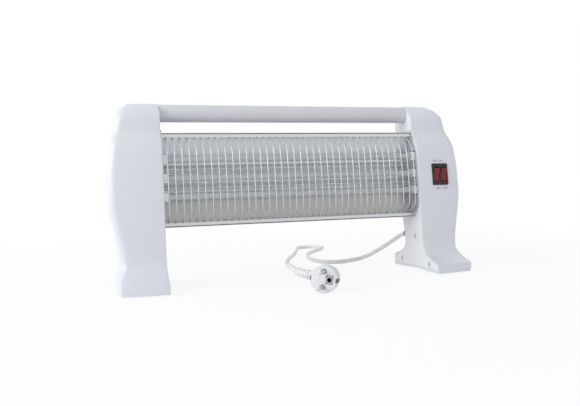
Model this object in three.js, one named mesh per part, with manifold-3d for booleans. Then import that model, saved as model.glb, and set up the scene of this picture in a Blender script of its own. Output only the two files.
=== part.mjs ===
import * as THREE from 'three';
import Module from 'manifold-3d';
import { mergeVertices } from 'three/addons/utils/BufferGeometryUtils.js';

// A three-tube quartz radiant heater: two moulded end housings on splayed feet carry a polished
// reflector, a bowed wire guard and a round carrying handle. Sizes are in millimetres.
// X runs along the heater, the front faces -Y and Z is up. The origin is on the floor, mid-length.

const wasm = await Module();
wasm.setup();

// General clearances

const fitGap = 0.3; // between pieces that seat on each other
const overrun = 1; // how far a cutter runs past the face that it opens

// Driving sizes

const housing = {
  height: 250,
  depth: 134, // toe to heel
  width: 71, // inner face to the outermost wall
  halfSpan: 186, // from the middle of the heater to a housing's inner face
  wall: 2.6,
  standOff: 1.5, // air under the moulding, filled by the pads
  archRise: 2.2, // hollow under the foot, between the pads
  archSpan: 76,
  cornerRadius: 11, // between the front face and the outer wall
  rearRadius: 12,
  faceCrown: 1.5, // how far the front face falls back towards its outer corner
  toeSetback: 12, // the same at the toe, which is turned outwards
  toeHeight: 14,
};

// Side view of the housing, as shares of its height and depth: the front edge leans back above a
// straight waist, steps back beside the handle and rolls over the top; the toe kicks forward below.
const frontLineShares = [
  [0, -0.489], [0.01, -0.5], [0.056, -0.5], [0.074, -0.388], [0.112, -0.254], [0.168, -0.2015],
  [0.26, -0.185], [0.48, -0.153], [0.72, -0.106], [0.76, -0.086], [0.848, 0.009], [0.916, 0.015],
  [0.96, 0.086], [1, 0.2],
];
const rearLineShares = [
  [0, 0.489], [0.01, 0.5], [0.072, 0.5], [0.088, 0.42], [0.1, 0.33], [0.124, 0.258],
  [0.168, 0.221], [0.268, 0.257], [0.6, 0.336], [0.892, 0.407], [0.968, 0.418], [1, 0.35],
];
// Front view of the outer wall, as shares of the height and the width.
const widthLineShares = [
  [0, 0.93], [0.012, 0.958], [0.056, 0.965], [0.076, 0.89], [0.1, 0.845], [0.136, 0.826],
  [0.2, 0.845], [0.28, 0.892], [0.36, 0.947], [0.42, 0.98], [0.48, 1], [0.6, 0.993],
  [0.72, 0.955], [0.8, 0.908], [0.86, 0.859], [0.92, 0.807], [0.968, 0.732], [1, 0.592],
];
// Heights of the loft's sections, as shares of the height that it spans.
const levelShares = [
  0, 0.01, 0.054, 0.066, 0.077, 0.092, 0.112, 0.138, 0.17, 0.22, 0.28, 0.35, 0.42, 0.49,
  0.58, 0.68, 0.75, 0.8, 0.85, 0.915, 0.945, 0.975, 1,
];

const pad = { length: 42, width: 12, thickness: 2.6, corner: 3, pocket: 1.4, inset: 8, toShare: 0.345 };

const cover = {
  thickness: 2.5,
  cupBore: 3.6,
  cupWall: 1.4,
  cupDepth: 6.5,
  wireHole: 2,
};

// Screws that close a housing, as shares of its depth and height: waist, heel, toe and crown.
const coverScrewShares = [[-0.008, 0.203], [0.31, 0.054], [-0.311, 0.046], [0.3, 0.78]];
const screw = { head: 3, headHeight: 2, shank: 1.5, reach: 11, boss: 4, pilotDepth: 14 };

const tube = {
  count: 3,
  pitch: 25,
  lowest: 121, // height of the lowest tube's axis
  outer: 4.5,
  inner: 3.4,
  behindFront: 13.2, // axis behind the housing's front edge
};

const cap = {
  side: 12, // ceramic block on each tube's end
  proud: 6, // how far it stands out of the housing
  boreDepth: 6,
  stem: 8, // narrower inner end, held by the retainer
  stemLength: 8,
  leadHole: 1.6,
  slot: 16, // height of the opening that it floats in
};

const retainer = { thickness: 1.2, width: 16, margin: 17, screwShare: 0.76 };

const coil = { curls: 10, radius: 2, wire: 0.55, stepsPerCurl: 8, sides: 5, blend: 1 };

const terminal = { pin: 1.2, nut: 2.6, nutHeight: 2.4, tail: 3, insert: 3 };

const busStrip = { thickness: 0.8, width: 9, overhang: 5 };

const reflector = {
  sheet: 0.8,
  top: 209, // height of the upper lip
  bottom: 80, // height of the lower lip
  lip: 7.5,
  flange: 7,
  topLipBack: 3.2, // depth of the upper lip's front face
  bottomLipBack: -0.5,
  trough: 24, // back of a trough behind its tube's axis
  ridge: 15, // crest between two tubes, behind the axes
  troughHalf: 7.5,
};

const casing = {
  sheet: 0.8,
  air: 18, // behind the reflector's troughs
  slotLength: 38,
  slotHeight: 4,
  slotColumns: 6,
  slotRowShares: [0.22, 0.36, 0.64, 0.78],
};

const endPlate = { sheet: 0.8, margin: 1.6, behindFront: 4.5, frontShares: [0.14, 0.3, 0.5, 0.7, 0.86] };

const guard = {
  wires: 38,
  pitch: 9.7,
  wire: 1,
  sides: 4,
  rail: 1.5,
  stand: 11.5, // wires in front of the tubes' axes
  seat: 1.5, // how far a rail's end enters the housing's face
};

const handle = { outer: 12.1, wall: 1.6, topDrop: 1.4, back: 28, plugLength: 18, pilot: 1.8, pilotDepth: 14 };

const rockerSwitch = {
  across: 221.3, // middle of the switch along the heater
  height: 142.8,
  width: 25.6,
  tall: 32,
  bezel: 2.2,
  seatDepth: 0.7,
  bodyWidth: 24.6,
  bodyTall: 26.4,
  bodyDepth: 16,
  bodyWall: 2.2, // between the two rockers' wells
  rockerWidth: 9,
  rockerRadius: 10.4, // swing of a rocker's ends about its pivot
  rockerFront: 5.2, // pivot to the corners of the rocker's face
  rockerValley: 3.2, // pivot to the middle of its face
  rockerBack: 3.4,
  pivotDepth: 3.8, // behind the bezel's face
  axle: 1.1,
  axleReach: 0.9,
  rockAngle: 10, // degrees either side of level
};
const switchTab = { width: 4.8, thickness: 0.8, length: 8, spreadShare: 0.25 };

const terminalBlock = { width: 26, depth: 14, tall: 12, fromInner: 28, front: 2, bottom: 80, boss: 5, bore: 2.2 };

const inlet = {
  fromInner: 16, // cord axis beyond the housing's inner face
  height: 57,
  hole: 5.2,
  flange: 8,
  flangeThickness: 1.6,
  sleeve: 25,
  sleeveBase: 6.4,
  sleeveTip: 4.8,
  reachIn: 26,
};
const clamp = { fromRear: 18, length: 8, tall: 26, gapHalf: 1, bar: 5, screwRise: 8.6 };

const lead = { radius: 1, sides: 5 };

const core = { radius: 1.1, spread: 1.5, lift: 10 };

const cordSizes = { diameter: 6.8, sides: 8, steps: 62 };
// The cord's route, from its sleeve down to the floor, round one long loop and up into the plug.
const cordRoute = [
  [202, 58.95, 50.69], [202, 66.45, 48.9], [200.6, 79, 44.7], [195.8, 96, 35.8], [188, 113, 25], [180, 127, 16.6],
  [171, 138, 9.4], [158, 143, 4.6], [147, 141, 3.5], [137, 134.5, 3.5], [128, 127.6, 3.5], [119, 123, 3.5],
  [109, 122.4, 3.5], [99, 125.6, 3.5], [91, 132, 3.5], [86, 141, 3.5], [83, 155, 3.5], [81.5, 178, 3.5],
  [83, 203, 3.5], [91, 233, 3.5], [104, 266, 3.5], [122, 297, 3.5], [144, 327, 3.5], [161.5, 351, 3.5],
  [169.5, 373, 3.5], [164, 391.5, 3.5], [144.5, 401, 3.5], [125, 393.5, 3.5], [115.5, 374, 3.5], [106, 346, 3.5],
  [93, 312, 3.5], [79, 277, 3.5], [64, 243, 3.6], [48, 205, 4.8], [31, 156, 7.4], [14, 102, 11.6], [-2, 48, 16.2],
  [-15, 0, 20.5], [-25, -38, 23.6], [-30.2, -64, 25.5], [-31.09, -81.94, 24.87], [-29.41, -89.29, 23.27],
];

// Round two-pin plug with side earth clips and a cord that leaves it sideways.
const plug = {
  across: -12, // middle of its face
  forward: -138,
  turn: 35, // degrees, back of the plug away from straight back
  tilt: 2, // degrees, tail down
  roll: 7, // degrees, pins off the vertical
  radius: 17,
  edge: 1,
  rim: 14,
  step: 0.8,
  grip: 15.4, // radius of the part behind the rim
  gripEnd: 24,
  length: 33,
  nose: 8, // radius of the flat at the very back
  neckDepth: 23, // the cord's axis behind the face
  neckBase: 7.6,
  neckTip: 6.2,
  neckEnd: 24,
  pin: 2.4,
  pinLength: 19,
  pinSpacing: 19,
  socketDepth: 6,
  earthOffset: 7.5,
  pocketWidth: 9.4,
  pocketTall: 10.8,
  pocketDepth: 1.6,
  pocketBoss: 3.9,
};
const strap = { thickness: 1.2, width: 5, depth: 12, bore: 2.4, tube: 3 };
// Ribbed boot: its run is given from its root at the plug's neck.
const boot = { base: 5.6, tip: 4.4, rib: 0.5, ribs: 5, reach: 10.7, bend: 7.5, back: 6.5, rise: 1.6, sides: 12 };

// Materials

const finish = (color, roughness, metalness, extra = {}) =>
  new THREE.MeshStandardMaterial({ color, roughness, metalness, ...extra });
const finishes = {
  shell: finish(0xe4e6ea, 0.42, 0),
  cover: finish(0xe9ebee, 0.5, 0),
  steel: finish(0xc9ccd0, 0.22, 0.95),
  wire: finish(0xd2d5d8, 0.28, 0.9),
  casing: finish(0xb9bdc2, 0.4, 0.8),
  ceramic: finish(0xf4f2ec, 0.7, 0),
  quartz: finish(0xe6ecef, 0.12, 0, { transparent: true, opacity: 0.45 }),
  resistance: finish(0x6a6560, 0.55, 0.85),
  screwSteel: finish(0x9a9da1, 0.35, 0.9),
  brass: finish(0xb99b55, 0.35, 0.9),
  black: finish(0x22262a, 0.45, 0),
  red: finish(0x8c1f26, 0.35, 0),
  rubber: finish(0x3a3c3e, 0.85, 0),
  cord: finish(0xb4b5b6, 0.6, 0),
  plug: finish(0xe6e8ea, 0.45, 0),
  insulation: finish(0xd8d4cc, 0.6, 0),
};

// Geometry helpers

// Merges shared corners, drops faces of no area and turns the faces outwards.
function weld(geometry) {
  const bare = geometry.clone();
  bare.deleteAttribute('normal');
  bare.deleteAttribute('uv');
  const merged = mergeVertices(bare);
  const corners = merged.index.array;
  const place = merged.attributes.position;
  const kept = [];
  let volume = 0;
  const [a, b, c] = [new THREE.Vector3(), new THREE.Vector3(), new THREE.Vector3()];
  for (let i = 0; i < corners.length; i += 3) {
    const [p, q, r] = [corners[i], corners[i + 1], corners[i + 2]];
    if (p === q || q === r || r === p) continue;
    kept.push(p, q, r);
    a.fromBufferAttribute(place, p);
    b.fromBufferAttribute(place, q);
    c.fromBufferAttribute(place, r);
    volume += a.dot(b.cross(c));
  }
  if (volume < 0) for (let i = 0; i < kept.length; i += 3) [kept[i], kept[i + 1]] = [kept[i + 1], kept[i]];
  merged.setIndex(kept);
  return merged;
}

function solid(geometry) {
  const closed = weld(geometry);
  return new wasm.Manifold(new wasm.Mesh({
    numProp: 3,
    vertProperties: new Float32Array(closed.attributes.position.array),
    triVerts: new Uint32Array(closed.index.array),
  }));
}

function surface(body) {
  const mesh = body.getMesh();
  const geometry = new THREE.BufferGeometry();
  geometry.setAttribute('position', new THREE.BufferAttribute(new Float32Array(mesh.vertProperties), 3));
  geometry.setIndex(Array.from(mesh.triVerts));
  return geometry;
}

const join = (geometries) => geometries.map(solid).reduce((whole, next) => whole.add(next));
const cut = (geometry, cutters) => surface(solid(geometry).subtract(join(cutters)));

// Mirrors a piece of the right-hand housing to the left-hand one.
const mirrored = (geometry) => geometry.clone().scale(-1, 1, 1);

function block(low, high) {
  const size = high.map((value, axis) => value - low[axis]);
  const middle = high.map((value, axis) => (value + low[axis]) / 2);
  return new THREE.BoxGeometry(...size).translate(...middle);
}

// A closed ring of points turned about the X axis; each pair is the place along X and the radius.
function turnedAlongX(profile, sides = 16) {
  const points = profile.map(([along, radius]) => new THREE.Vector2(radius, along));
  return new THREE.LatheGeometry(points, sides).rotateZ(-Math.PI / 2);
}

const rodAlongX = (from, to, radius, sides = 10) =>
  turnedAlongX([[from, 0], [from, radius], [to, radius], [to, 0]], sides);

function turnedAlongY(profile, sides = 16) {
  return new THREE.LatheGeometry(profile.map(([along, radius]) => new THREE.Vector2(radius, along)), sides);
}

const rodAlongY = (from, to, radius, sides = 12) =>
  turnedAlongY([[from, 0], [from, radius], [to, radius], [to, 0]], sides);

// An outline in Y and Z carried along X.
function extrudedAlongX(shape, from, to) {
  const carried = new THREE.ExtrudeGeometry(shape, { depth: to - from, bevelEnabled: false, curveSegments: 6 });
  const turn = new THREE.Matrix4().makeBasis(
    new THREE.Vector3(0, 1, 0), new THREE.Vector3(0, 0, 1), new THREE.Vector3(1, 0, 0));
  return carried.applyMatrix4(turn).translate(from, 0, 0);
}

const outline = (points) => new THREE.Shape(points.map(([y, z]) => new THREE.Vector2(y, z)));

// A round section carried along a smooth curve through the given points.
function pipe(points, radius, sides, steps) {
  const curve = new THREE.CatmullRomCurve3(points.map((point) => new THREE.Vector3(...point)), false, 'centripetal');
  curve.arcLengthDivisions = steps * sides * 2;
  const section = new THREE.Shape(Array.from({ length: sides }, (_, i) => new THREE.Vector2(
    radius * Math.cos((2 * Math.PI * i) / sides), radius * Math.sin((2 * Math.PI * i) / sides))));
  return new THREE.ExtrudeGeometry(section, { steps, extrudePath: curve, bevelEnabled: false });
}

// The bends of a folded line in Y and Z, each with the step that keeps an offset line at unit distance.
function mitredBends(points) {
  const middle = points.map(([y, z]) => new THREE.Vector2(y, z));
  const along = middle.slice(1).map((point, i) => point.clone().sub(middle[i]).normalize());
  return middle.map((point, i) => {
    const before = along[Math.max(i - 1, 0)];
    const after = along[Math.min(i, along.length - 1)];
    const mitre = new THREE.Vector2(-before.y - after.y, before.x + after.x).normalize();
    return [point, mitre.divideScalar(mitre.dot(new THREE.Vector2(-after.y, after.x)))];
  });
}

// The outline of a folded sheet whose middle follows the given points.
function foldedSheet(points, thickness) {
  const side = (sign) => mitredBends(points).map(([point, mitre]) =>
    point.clone().addScaledVector(mitre, (sign * thickness) / 2));
  return new THREE.Shape([...side(1), ...side(-1).reverse()]);
}

// A wire bent square to X, with a ring of corners at each bend.
function bentWire(x, points, radius, sides) {
  return loft(mitredBends(points).map(([point, mitre]) => Array.from({ length: sides }, (_, n) => {
    const angle = (2 * Math.PI * (n + 0.5)) / sides;
    const place = point.clone().addScaledVector(mitre, radius * Math.sin(angle));
    return [x + radius * Math.cos(angle), place.x, place.y];
  })));
}

// A curve without overshoot through rows of height and value.
function smoothLine(rows) {
  const secant = (i) => (rows[i + 1][1] - rows[i][1]) / (rows[i + 1][0] - rows[i][0]);
  const slopes = rows.map((row, i) => {
    if (i === 0) return secant(0);
    if (i === rows.length - 1) return secant(i - 1);
    const [before, after] = [secant(i - 1), secant(i)];
    return before * after <= 0 ? 0 : (2 * before * after) / (before + after);
  });
  return (height) => {
    const clamped = Math.min(Math.max(height, rows[0][0]), rows.at(-1)[0]);
    const i = Math.max(0, rows.findIndex((row, n) => n > 0 && clamped <= row[0]) - 1);
    const span = rows[i + 1][0] - rows[i][0];
    const t = (clamped - rows[i][0]) / span;
    return rows[i][1] * (1 + 2 * t) * (1 - t) ** 2 + rows[i + 1][1] * t * t * (3 - 2 * t)
      + span * (slopes[i] * t * (1 - t) ** 2 - slopes[i + 1] * t * t * (1 - t));
  };
}

// A round section that changes along a curve.
function sleeve(curve, radiusAt, sides, steps) {
  const frames = curve.computeFrenetFrames(steps);
  const rings = Array.from({ length: steps + 1 }, (_, i) => {
    const middle = curve.getPointAt(i / steps);
    const radius = radiusAt(i / steps);
    return Array.from({ length: sides }, (__, n) => {
      const angle = (2 * Math.PI * n) / sides;
      return middle.clone().addScaledVector(frames.normals[i], radius * Math.cos(angle))
        .addScaledVector(frames.binormals[i], radius * Math.sin(angle)).toArray();
    });
  });
  return loft(rings);
}

// Stacked rings of equal count, closed at both ends by fans.
function loft(rings) {
  const count = rings[0].length;
  const corners = [];
  for (let level = 0; level + 1 < rings.length; level += 1) {
    for (let i = 0; i < count; i += 1) {
      const [a, b] = [level * count + i, level * count + ((i + 1) % count)];
      corners.push(a, b, b + count, a, b + count, a + count);
    }
  }
  const roof = (rings.length - 1) * count;
  for (let i = 1; i + 1 < count; i += 1) corners.push(0, i + 1, i, roof, roof + i, roof + i + 1);
  const geometry = new THREE.BufferGeometry();
  geometry.setAttribute('position', new THREE.Float32BufferAttribute(rings.flat(2), 3));
  geometry.setIndex(corners);
  return geometry;
}

// Scene graph

const heater = new THREE.Group();
function piece(name, geometry, material, parent = heater) {
  const mesh = new THREE.Mesh(weld(geometry), material.clone());
  mesh.name = name;
  parent.add(mesh);
  return mesh;
}

// Housing form, right-hand side: u runs outwards from its inner face

const scaled = (shares, size) => shares.map(([height, value]) => [height * housing.height, value * size]);
const frontLine = smoothLine(scaled(frontLineShares, housing.depth));
const rearLine = smoothLine(scaled(rearLineShares, housing.depth));
const widthLine = smoothLine(scaled(widthLineShares, housing.width));
const setbackLine = smoothLine([
  [0, housing.toeSetback], [housing.toeHeight, housing.toeSetback], [2 * housing.toeHeight, housing.faceCrown],
  [housing.height, housing.faceCrown],
]);

// Moves a line of the housing inwards by a wall, measured square to the surface.
function inset(line, height, wall, inwards) {
  const samples = 4;
  let reach = -Infinity;
  for (let i = -samples; i <= samples; i += 1) {
    const lift = (wall * i) / samples;
    reach = Math.max(reach, inwards * line(height + lift) + Math.sqrt(wall * wall - lift * lift));
  }
  return inwards * reach;
}

// A level section: crowned front face, rounded outer corners, flat inner side.
function planRing(height, wall, innerFace) {
  const front = inset(frontLine, height, wall, 1);
  const rear = inset(rearLine, height, wall, -1);
  const width = inset(widthLine, height, wall, -1);
  const corner = housing.cornerRadius - wall;
  const rearCorner = housing.rearRadius - wall;
  const faceEnd = width - corner;
  const setback = setbackLine(height);
  const fallAngle = Math.atan((2 * setback) / faceEnd);
  const ring = [[innerFace, front]];
  for (const share of [0.4, 0.75, 1]) ring.push([faceEnd * share, front + setback * share * share]);
  const arcSteps = 3;
  for (let i = 1; i <= arcSteps; i += 1) {
    const angle = fallAngle + ((Math.PI / 2 - fallAngle) * i) / arcSteps;
    ring.push([
      faceEnd + (corner * (Math.sin(angle) - Math.sin(fallAngle))) / (1 - Math.sin(fallAngle)),
      front + setback + corner * (Math.cos(fallAngle) - Math.cos(angle)),
    ]);
  }
  for (let i = 0; i <= arcSteps; i += 1) {
    const angle = (Math.PI / 2) * (i / arcSteps);
    ring.push([width - rearCorner * (1 - Math.cos(angle)), rear - rearCorner * (1 - Math.sin(angle))]);
  }
  ring.push([innerFace, rear]);
  return ring.map(([u, y]) => [housing.halfSpan + u, y, height]);
}

function housingForm(wall, innerFace, base, top) {
  return loft(levelShares.map((share) => planRing(base + (top - base) * share, wall, innerFace)));
}

const underside = housing.standOff;
const cavityFloor = housing.standOff + housing.archRise + housing.wall;
const cavityTop = housing.height - housing.wall;

// Places that several pieces share

const inner = housing.halfSpan;
const tubeHeights = Array.from({ length: tube.count }, (_, i) => tube.lowest + tube.pitch * i);
const tubeLine = (height) => frontLine(height) + tube.behindFront;
const tubeAxes = tubeHeights.map((height) => [tubeLine(height), height]);
const coverInside = inner + cover.thickness;
const retainerFrom = coverInside + fitGap;
const capShoulder = coverInside;
const stemEnd = capShoulder + cap.stemLength;
const handleHeight = housing.height - handle.topDrop - handle.outer;
const padSpots = [-1, 1].map((sign) => sign * pad.toShare * housing.depth);
const screwSpots = coverScrewShares.map(([depth, height]) => [depth * housing.depth, height * housing.height]);
const cupFloor = inner + cover.cupDepth;
const cupEnd = cupFloor + cover.cupWall;
const bossStart = cupEnd + fitGap;
const sheetEnd = inner - fitGap - endPlate.sheet - fitGap; // where the reflector and casing stop
const railTop = [reflector.topLipBack + reflector.sheet + fitGap + guard.rail, reflector.top - reflector.lip / 2];
const railBottom = [
  reflector.bottomLipBack + reflector.sheet + fitGap + guard.rail, reflector.bottom + reflector.lip / 2];
const returnHeight = (reflector.bottom + tube.lowest) / 2;
const returnWire = [tubeLine(returnHeight) + reflector.trough + casing.air / 4, returnHeight];

// Cord inlet: its axis is square to the leaning rear wall

const inletFall = (rearLine(inlet.height + inlet.flange) - rearLine(inlet.height - inlet.flange)) / (2 * inlet.flange);
const inletTilt = Math.atan(inletFall);
const inletPoint = new THREE.Vector3(inner + inlet.fromInner, rearLine(inlet.height), inlet.height);
const inletPlace = new THREE.Matrix4().makeRotationX(-inletTilt).setPosition(inletPoint);
const placedAtInlet = (shape) => shape.applyMatrix4(inletPlace);
const clampDepth = inletPoint.y - clamp.fromRear;
const clampHeight = inletPoint.z + clamp.fromRear * inletFall;
const cordChannel = cordSizes.diameter / 2 + fitGap;

// Switch seat: it leans with the front face

const switchLow = frontLine(rockerSwitch.height - rockerSwitch.tall / 2);
const switchHigh = frontLine(rockerSwitch.height + rockerSwitch.tall / 2);
const switchLean = Math.atan((switchHigh - switchLow) / rockerSwitch.tall);
const switchFaceShare = (rockerSwitch.across - inner) / (housing.width - housing.cornerRadius);
const switchSeat = (switchHigh + switchLow) / 2 + housing.faceCrown * switchFaceShare ** 2 + rockerSwitch.seatDepth;
const switchPlace = new THREE.Matrix4().makeRotationX(-switchLean)
  .setPosition(rockerSwitch.across, switchSeat, rockerSwitch.height);
const placedAtSwitch = (shape) => shape.applyMatrix4(switchPlace);

// Outer shell

function shellForm() {
  const outer = solid(housingForm(0, 0, underside, housing.height));
  const cavity = solid(housingForm(housing.wall, -overrun, cavityFloor, cavityTop));
  const bossRoot = housing.halfSpan + housing.width + overrun;
  const bosses = join(screwSpots.map(([y, z]) =>
    rodAlongX(bossStart, bossRoot, screw.boss).translate(0, y, z))).intersect(outer);
  const archHalf = housing.archSpan / 2;
  const arch = new THREE.Shape();
  arch.moveTo(-archHalf, underside - overrun);
  arch.lineTo(-archHalf, underside);
  arch.quadraticCurveTo(0, underside + 2 * housing.archRise, archHalf, underside);
  arch.lineTo(archHalf, underside - overrun);
  const cutters = [
    extrudedAlongX(arch, inner - overrun, inner + housing.width + overrun),
    ...padSpots.map((y) => padForm(y, fitGap, underside - overrun, underside + pad.pocket)),
    ...screwSpots.map(([y, z]) =>
      rodAlongX(bossStart - overrun, bossStart + screw.pilotDepth, screw.shank + fitGap).translate(0, y, z)),
  ];
  return outer.subtract(cavity).add(bosses).subtract(join(cutters));
}

function padForm(y, grow, base, top) {
  const [halfLength, halfWidth] = [pad.length / 2 + grow, pad.width / 2 + grow];
  const corner = pad.corner + grow;
  const shape = new THREE.Shape();
  shape.moveTo(-halfLength + corner, -halfWidth);
  shape.lineTo(halfLength - corner, -halfWidth);
  shape.absarc(halfLength - corner, -halfWidth + corner, corner, -Math.PI / 2, 0);
  shape.absarc(halfLength - corner, halfWidth - corner, corner, 0, Math.PI / 2);
  shape.absarc(-halfLength + corner, halfWidth - corner, corner, Math.PI / 2, Math.PI);
  shape.absarc(-halfLength + corner, -halfWidth + corner, corner, Math.PI, 1.5 * Math.PI);
  return new THREE.ExtrudeGeometry(shape, { depth: top - base, bevelEnabled: false, curveSegments: 3 })
    .translate(inner + pad.inset + pad.length / 2, y, base);
}

// Where the cord and the switch enter the right-hand shell, and what carries the terminal block.
function rightShellForm() {
  const bodyHalf = rockerSwitch.bodyWidth / 2 + fitGap;
  const bodyRise = rockerSwitch.bodyTall / 2 + fitGap;
  const seatHalf = rockerSwitch.width / 2 + fitGap;
  const seatRise = rockerSwitch.tall / 2 + fitGap;
  const blockEnd = inner + terminalBlock.fromInner + terminalBlock.width + fitGap;
  const boss = rodAlongX(blockEnd, inner + housing.width, terminalBlock.boss)
    .translate(0, terminalBlock.front + terminalBlock.depth / 2, terminalBlock.bottom + terminalBlock.tall / 2);
  const pilot = rodAlongX(blockEnd - overrun, blockEnd + screw.reach / 2, screw.shank + fitGap)
    .translate(0, terminalBlock.front + terminalBlock.depth / 2, terminalBlock.bottom + terminalBlock.tall / 2);
  const outer = solid(housingForm(0, 0, underside, housing.height));
  return shellForm().add(solid(boss).intersect(outer)).subtract(join([
    pilot,
    placedAtSwitch(block([-seatHalf, -overrun - rockerSwitch.bezel, -seatRise], [seatHalf, 0, seatRise])),
    placedAtSwitch(block([-bodyHalf, -overrun, -bodyRise], [bodyHalf, rockerSwitch.bodyDepth / 2, bodyRise])),
    placedAtInlet(turnedAlongY([
      [-inlet.reachIn / 2, 0], [-inlet.reachIn / 2, inlet.hole + fitGap], [inlet.sleeve, inlet.hole + fitGap],
      [inlet.sleeve, 0]])),
  ]));
}

// Inner cover: a plate let into the mouth of the shell, with its screws in their cups

function coverForm() {
  const mouth = solid(housingForm(housing.wall + fitGap, -overrun, cavityFloor, cavityTop));
  const [low, high] = [cavityFloor + fitGap, cavityTop - fitGap];
  const slab = solid(block([inner, -housing.depth, low], [coverInside, housing.depth, high]));
  const cupRoom = solid(block([inner, -housing.depth, low], [inner + housing.width, housing.depth, high]));
  const cups = screwSpots.map(([y, z]) =>
    rodAlongX(inner + overrun, cupEnd, cover.cupBore + cover.cupWall, 8).translate(0, y, z));
  const cutters = [
    ...screwSpots.map(([y, z]) => rodAlongX(inner - overrun, cupFloor, cover.cupBore).translate(0, y, z)),
    ...tubeAxes.map((axis) => capOpening(axis, inner - overrun, coverInside + overrun)),
    ...[railTop, railBottom].map(([y, z]) =>
      rodAlongX(inner - overrun, inner + guard.seat + fitGap, guard.rail + fitGap).translate(0, y, z)),
    rodAlongX(inner - overrun, coverInside + overrun, screw.shank + fitGap).translate(0, handle.back, handleHeight),
    rodAlongX(inner - overrun, coverInside + overrun, cover.wireHole).translate(0, ...returnWire),
    ...retainerScrewSpots().map(([y, z]) =>
      rodAlongX(inner + fitGap, coverInside + overrun, screw.shank + fitGap).translate(0, y, z)),
  ];
  const screws = screwSpots.map(([y, z]) => screwForm(cupFloor, cover.cupWall + screw.reach, y, z));
  return mouth.intersect(slab.add(join(cups).intersect(cupRoom))).subtract(join(cutters)).add(join(screws));
}

function capOpening([y, z], from, to) {
  const [halfWidth, halfHeight] = [cap.side / 2 + fitGap, cap.slot / 2];
  return block([from, y - halfWidth, z - halfHeight], [to, y + halfWidth, z + halfHeight]);
}

// The right-hand cover also carries the saddle that the cord is clamped on.
function rightCoverForm() {
  const half = clamp.length / 2;
  const rise = clamp.tall / 2;
  const saddleTop = inletPoint.x - clamp.gapHalf;
  const saddle = block(
    [inner + overrun, clampDepth - half, clampHeight - rise], [saddleTop, clampDepth + half, clampHeight + rise]);
  return coverForm().add(solid(saddle)).subtract(join([
    cordBore(),
    ...clampScrewSpots().map(([y, z]) =>
      rodAlongX(saddleTop - screw.reach, saddleTop + overrun, screw.shank + fitGap, 8).translate(0, y, z)),
  ]));
}

function cordBore() {
  return placedAtInlet(turnedAlongY([
    [-inlet.reachIn - overrun, 0], [-inlet.reachIn - overrun, cordChannel], [inlet.sleeve, cordChannel],
    [inlet.sleeve, 0]], cordSizes.sides * 2));
}

function clampScrewSpots() {
  return [[clampDepth, clampHeight - clamp.screwRise], [clampDepth, clampHeight + clamp.screwRise]];
}

// Screws

// A domed screw along X with its head's seat at the given place.
function screwForm(seat, reach, y, z, direction = 1) {
  const profile = [
    [-screw.headHeight, 0], [-screw.headHeight, screw.head * 0.6], [-screw.headHeight * 0.4, screw.head],
    [0, screw.head], [0, screw.shank], [reach, screw.shank], [reach + screw.shank, 0],
  ].map(([along, radius]) => [direction * along, radius]);
  return turnedAlongX(profile, 8).translate(seat, y, z);
}

// Tubes, caps and heating coils

function capForm([y, z]) {
  const [half, stemHalf] = [cap.side / 2, cap.stem / 2];
  const face = inner - cap.proud;
  const whole = solid(block([face, y - half, z - half], [capShoulder, y + half, z + half]))
    .add(solid(block([capShoulder - overrun, y - stemHalf, z - stemHalf], [stemEnd, y + stemHalf, z + stemHalf])));
  const bore = rodAlongX(face - overrun, face + cap.boreDepth, tube.outer + fitGap, 20).translate(0, y, z);
  const leadHole = rodAlongX(face, stemEnd + overrun, cap.leadHole, 10).translate(0, y, z);
  return surface(whole.subtract(join([bore, leadHole])));
}

const tubeEnd = inner - cap.proud + cap.boreDepth - fitGap;
const pinStart = tubeEnd - terminal.insert;

function quartzTube([y, z]) {
  return turnedAlongX([
    [-tubeEnd, tube.inner], [-tubeEnd, tube.outer], [tubeEnd, tube.outer], [tubeEnd, tube.inner],
    [-tubeEnd, tube.inner]], 18).translate(0, y, z);
}

// A coil of open curls that draws in to the tube's axis and runs straight at both ends.
function coilPath() {
  const end = pinStart - fitGap;
  const straight = 2 * coil.wire;
  const blendLength = 4 * coil.radius;
  const start = end - straight - blendLength;
  const count = coil.curls * coil.stepsPerCurl;
  const points = [];
  for (let i = 0; i <= count; i += 1) {
    const along = -start + (2 * start * i) / count;
    const fromEnd = Math.min(i, count - i) / (coil.blend * coil.stepsPerCurl);
    const radius = coil.radius * Math.min(1, fromEnd * 0.75 + 0.25);
    const angle = (2 * Math.PI * i) / coil.stepsPerCurl;
    points.push([along, radius * Math.cos(angle), radius * Math.sin(angle)]);
  }
  const half = blendLength / 2;
  const tails = [[start + half, 0, 0], [end - straight, 0, 0], [end, 0, 0]];
  return [...tails.map(([x]) => [-x, 0, 0]).reverse(), ...points, ...tails];
}

function coilForm(points, [y, z]) {
  return pipe(points, coil.wire, coil.sides, points.length - 1).translate(0, y, z);
}

// Least clear distance between stretches of the coil that are over half a curl apart.
function leastCoilGap(points) {
  const apart = Math.ceil(coil.stepsPerCurl * 0.6);
  let least = Infinity;
  for (let i = 0; i < points.length; i += 1) {
    for (let j = i + apart; j < points.length; j += 1) {
      least = Math.min(least, Math.hypot(...points[i].map((value, axis) => value - points[j][axis])));
    }
  }
  return least - 2 * coil.wire;
}

// Threaded pin through each cap, with its nut outside.
function terminalForm([y, z]) {
  const nutSeat = stemEnd + fitGap + busStrip.thickness + fitGap;
  return turnedAlongX([
    [pinStart, 0], [pinStart, terminal.pin], [nutSeat, terminal.pin], [nutSeat, terminal.nut],
    [nutSeat + terminal.nutHeight, terminal.nut], [nutSeat + terminal.nutHeight, terminal.pin],
    [nutSeat + terminal.nutHeight + terminal.tail, terminal.pin],
    [nutSeat + terminal.nutHeight + terminal.tail, 0]], 8).translate(0, y, z);
}

const terminalEnd = stemEnd + 2 * fitGap + busStrip.thickness + terminal.nutHeight + terminal.tail;

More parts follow.
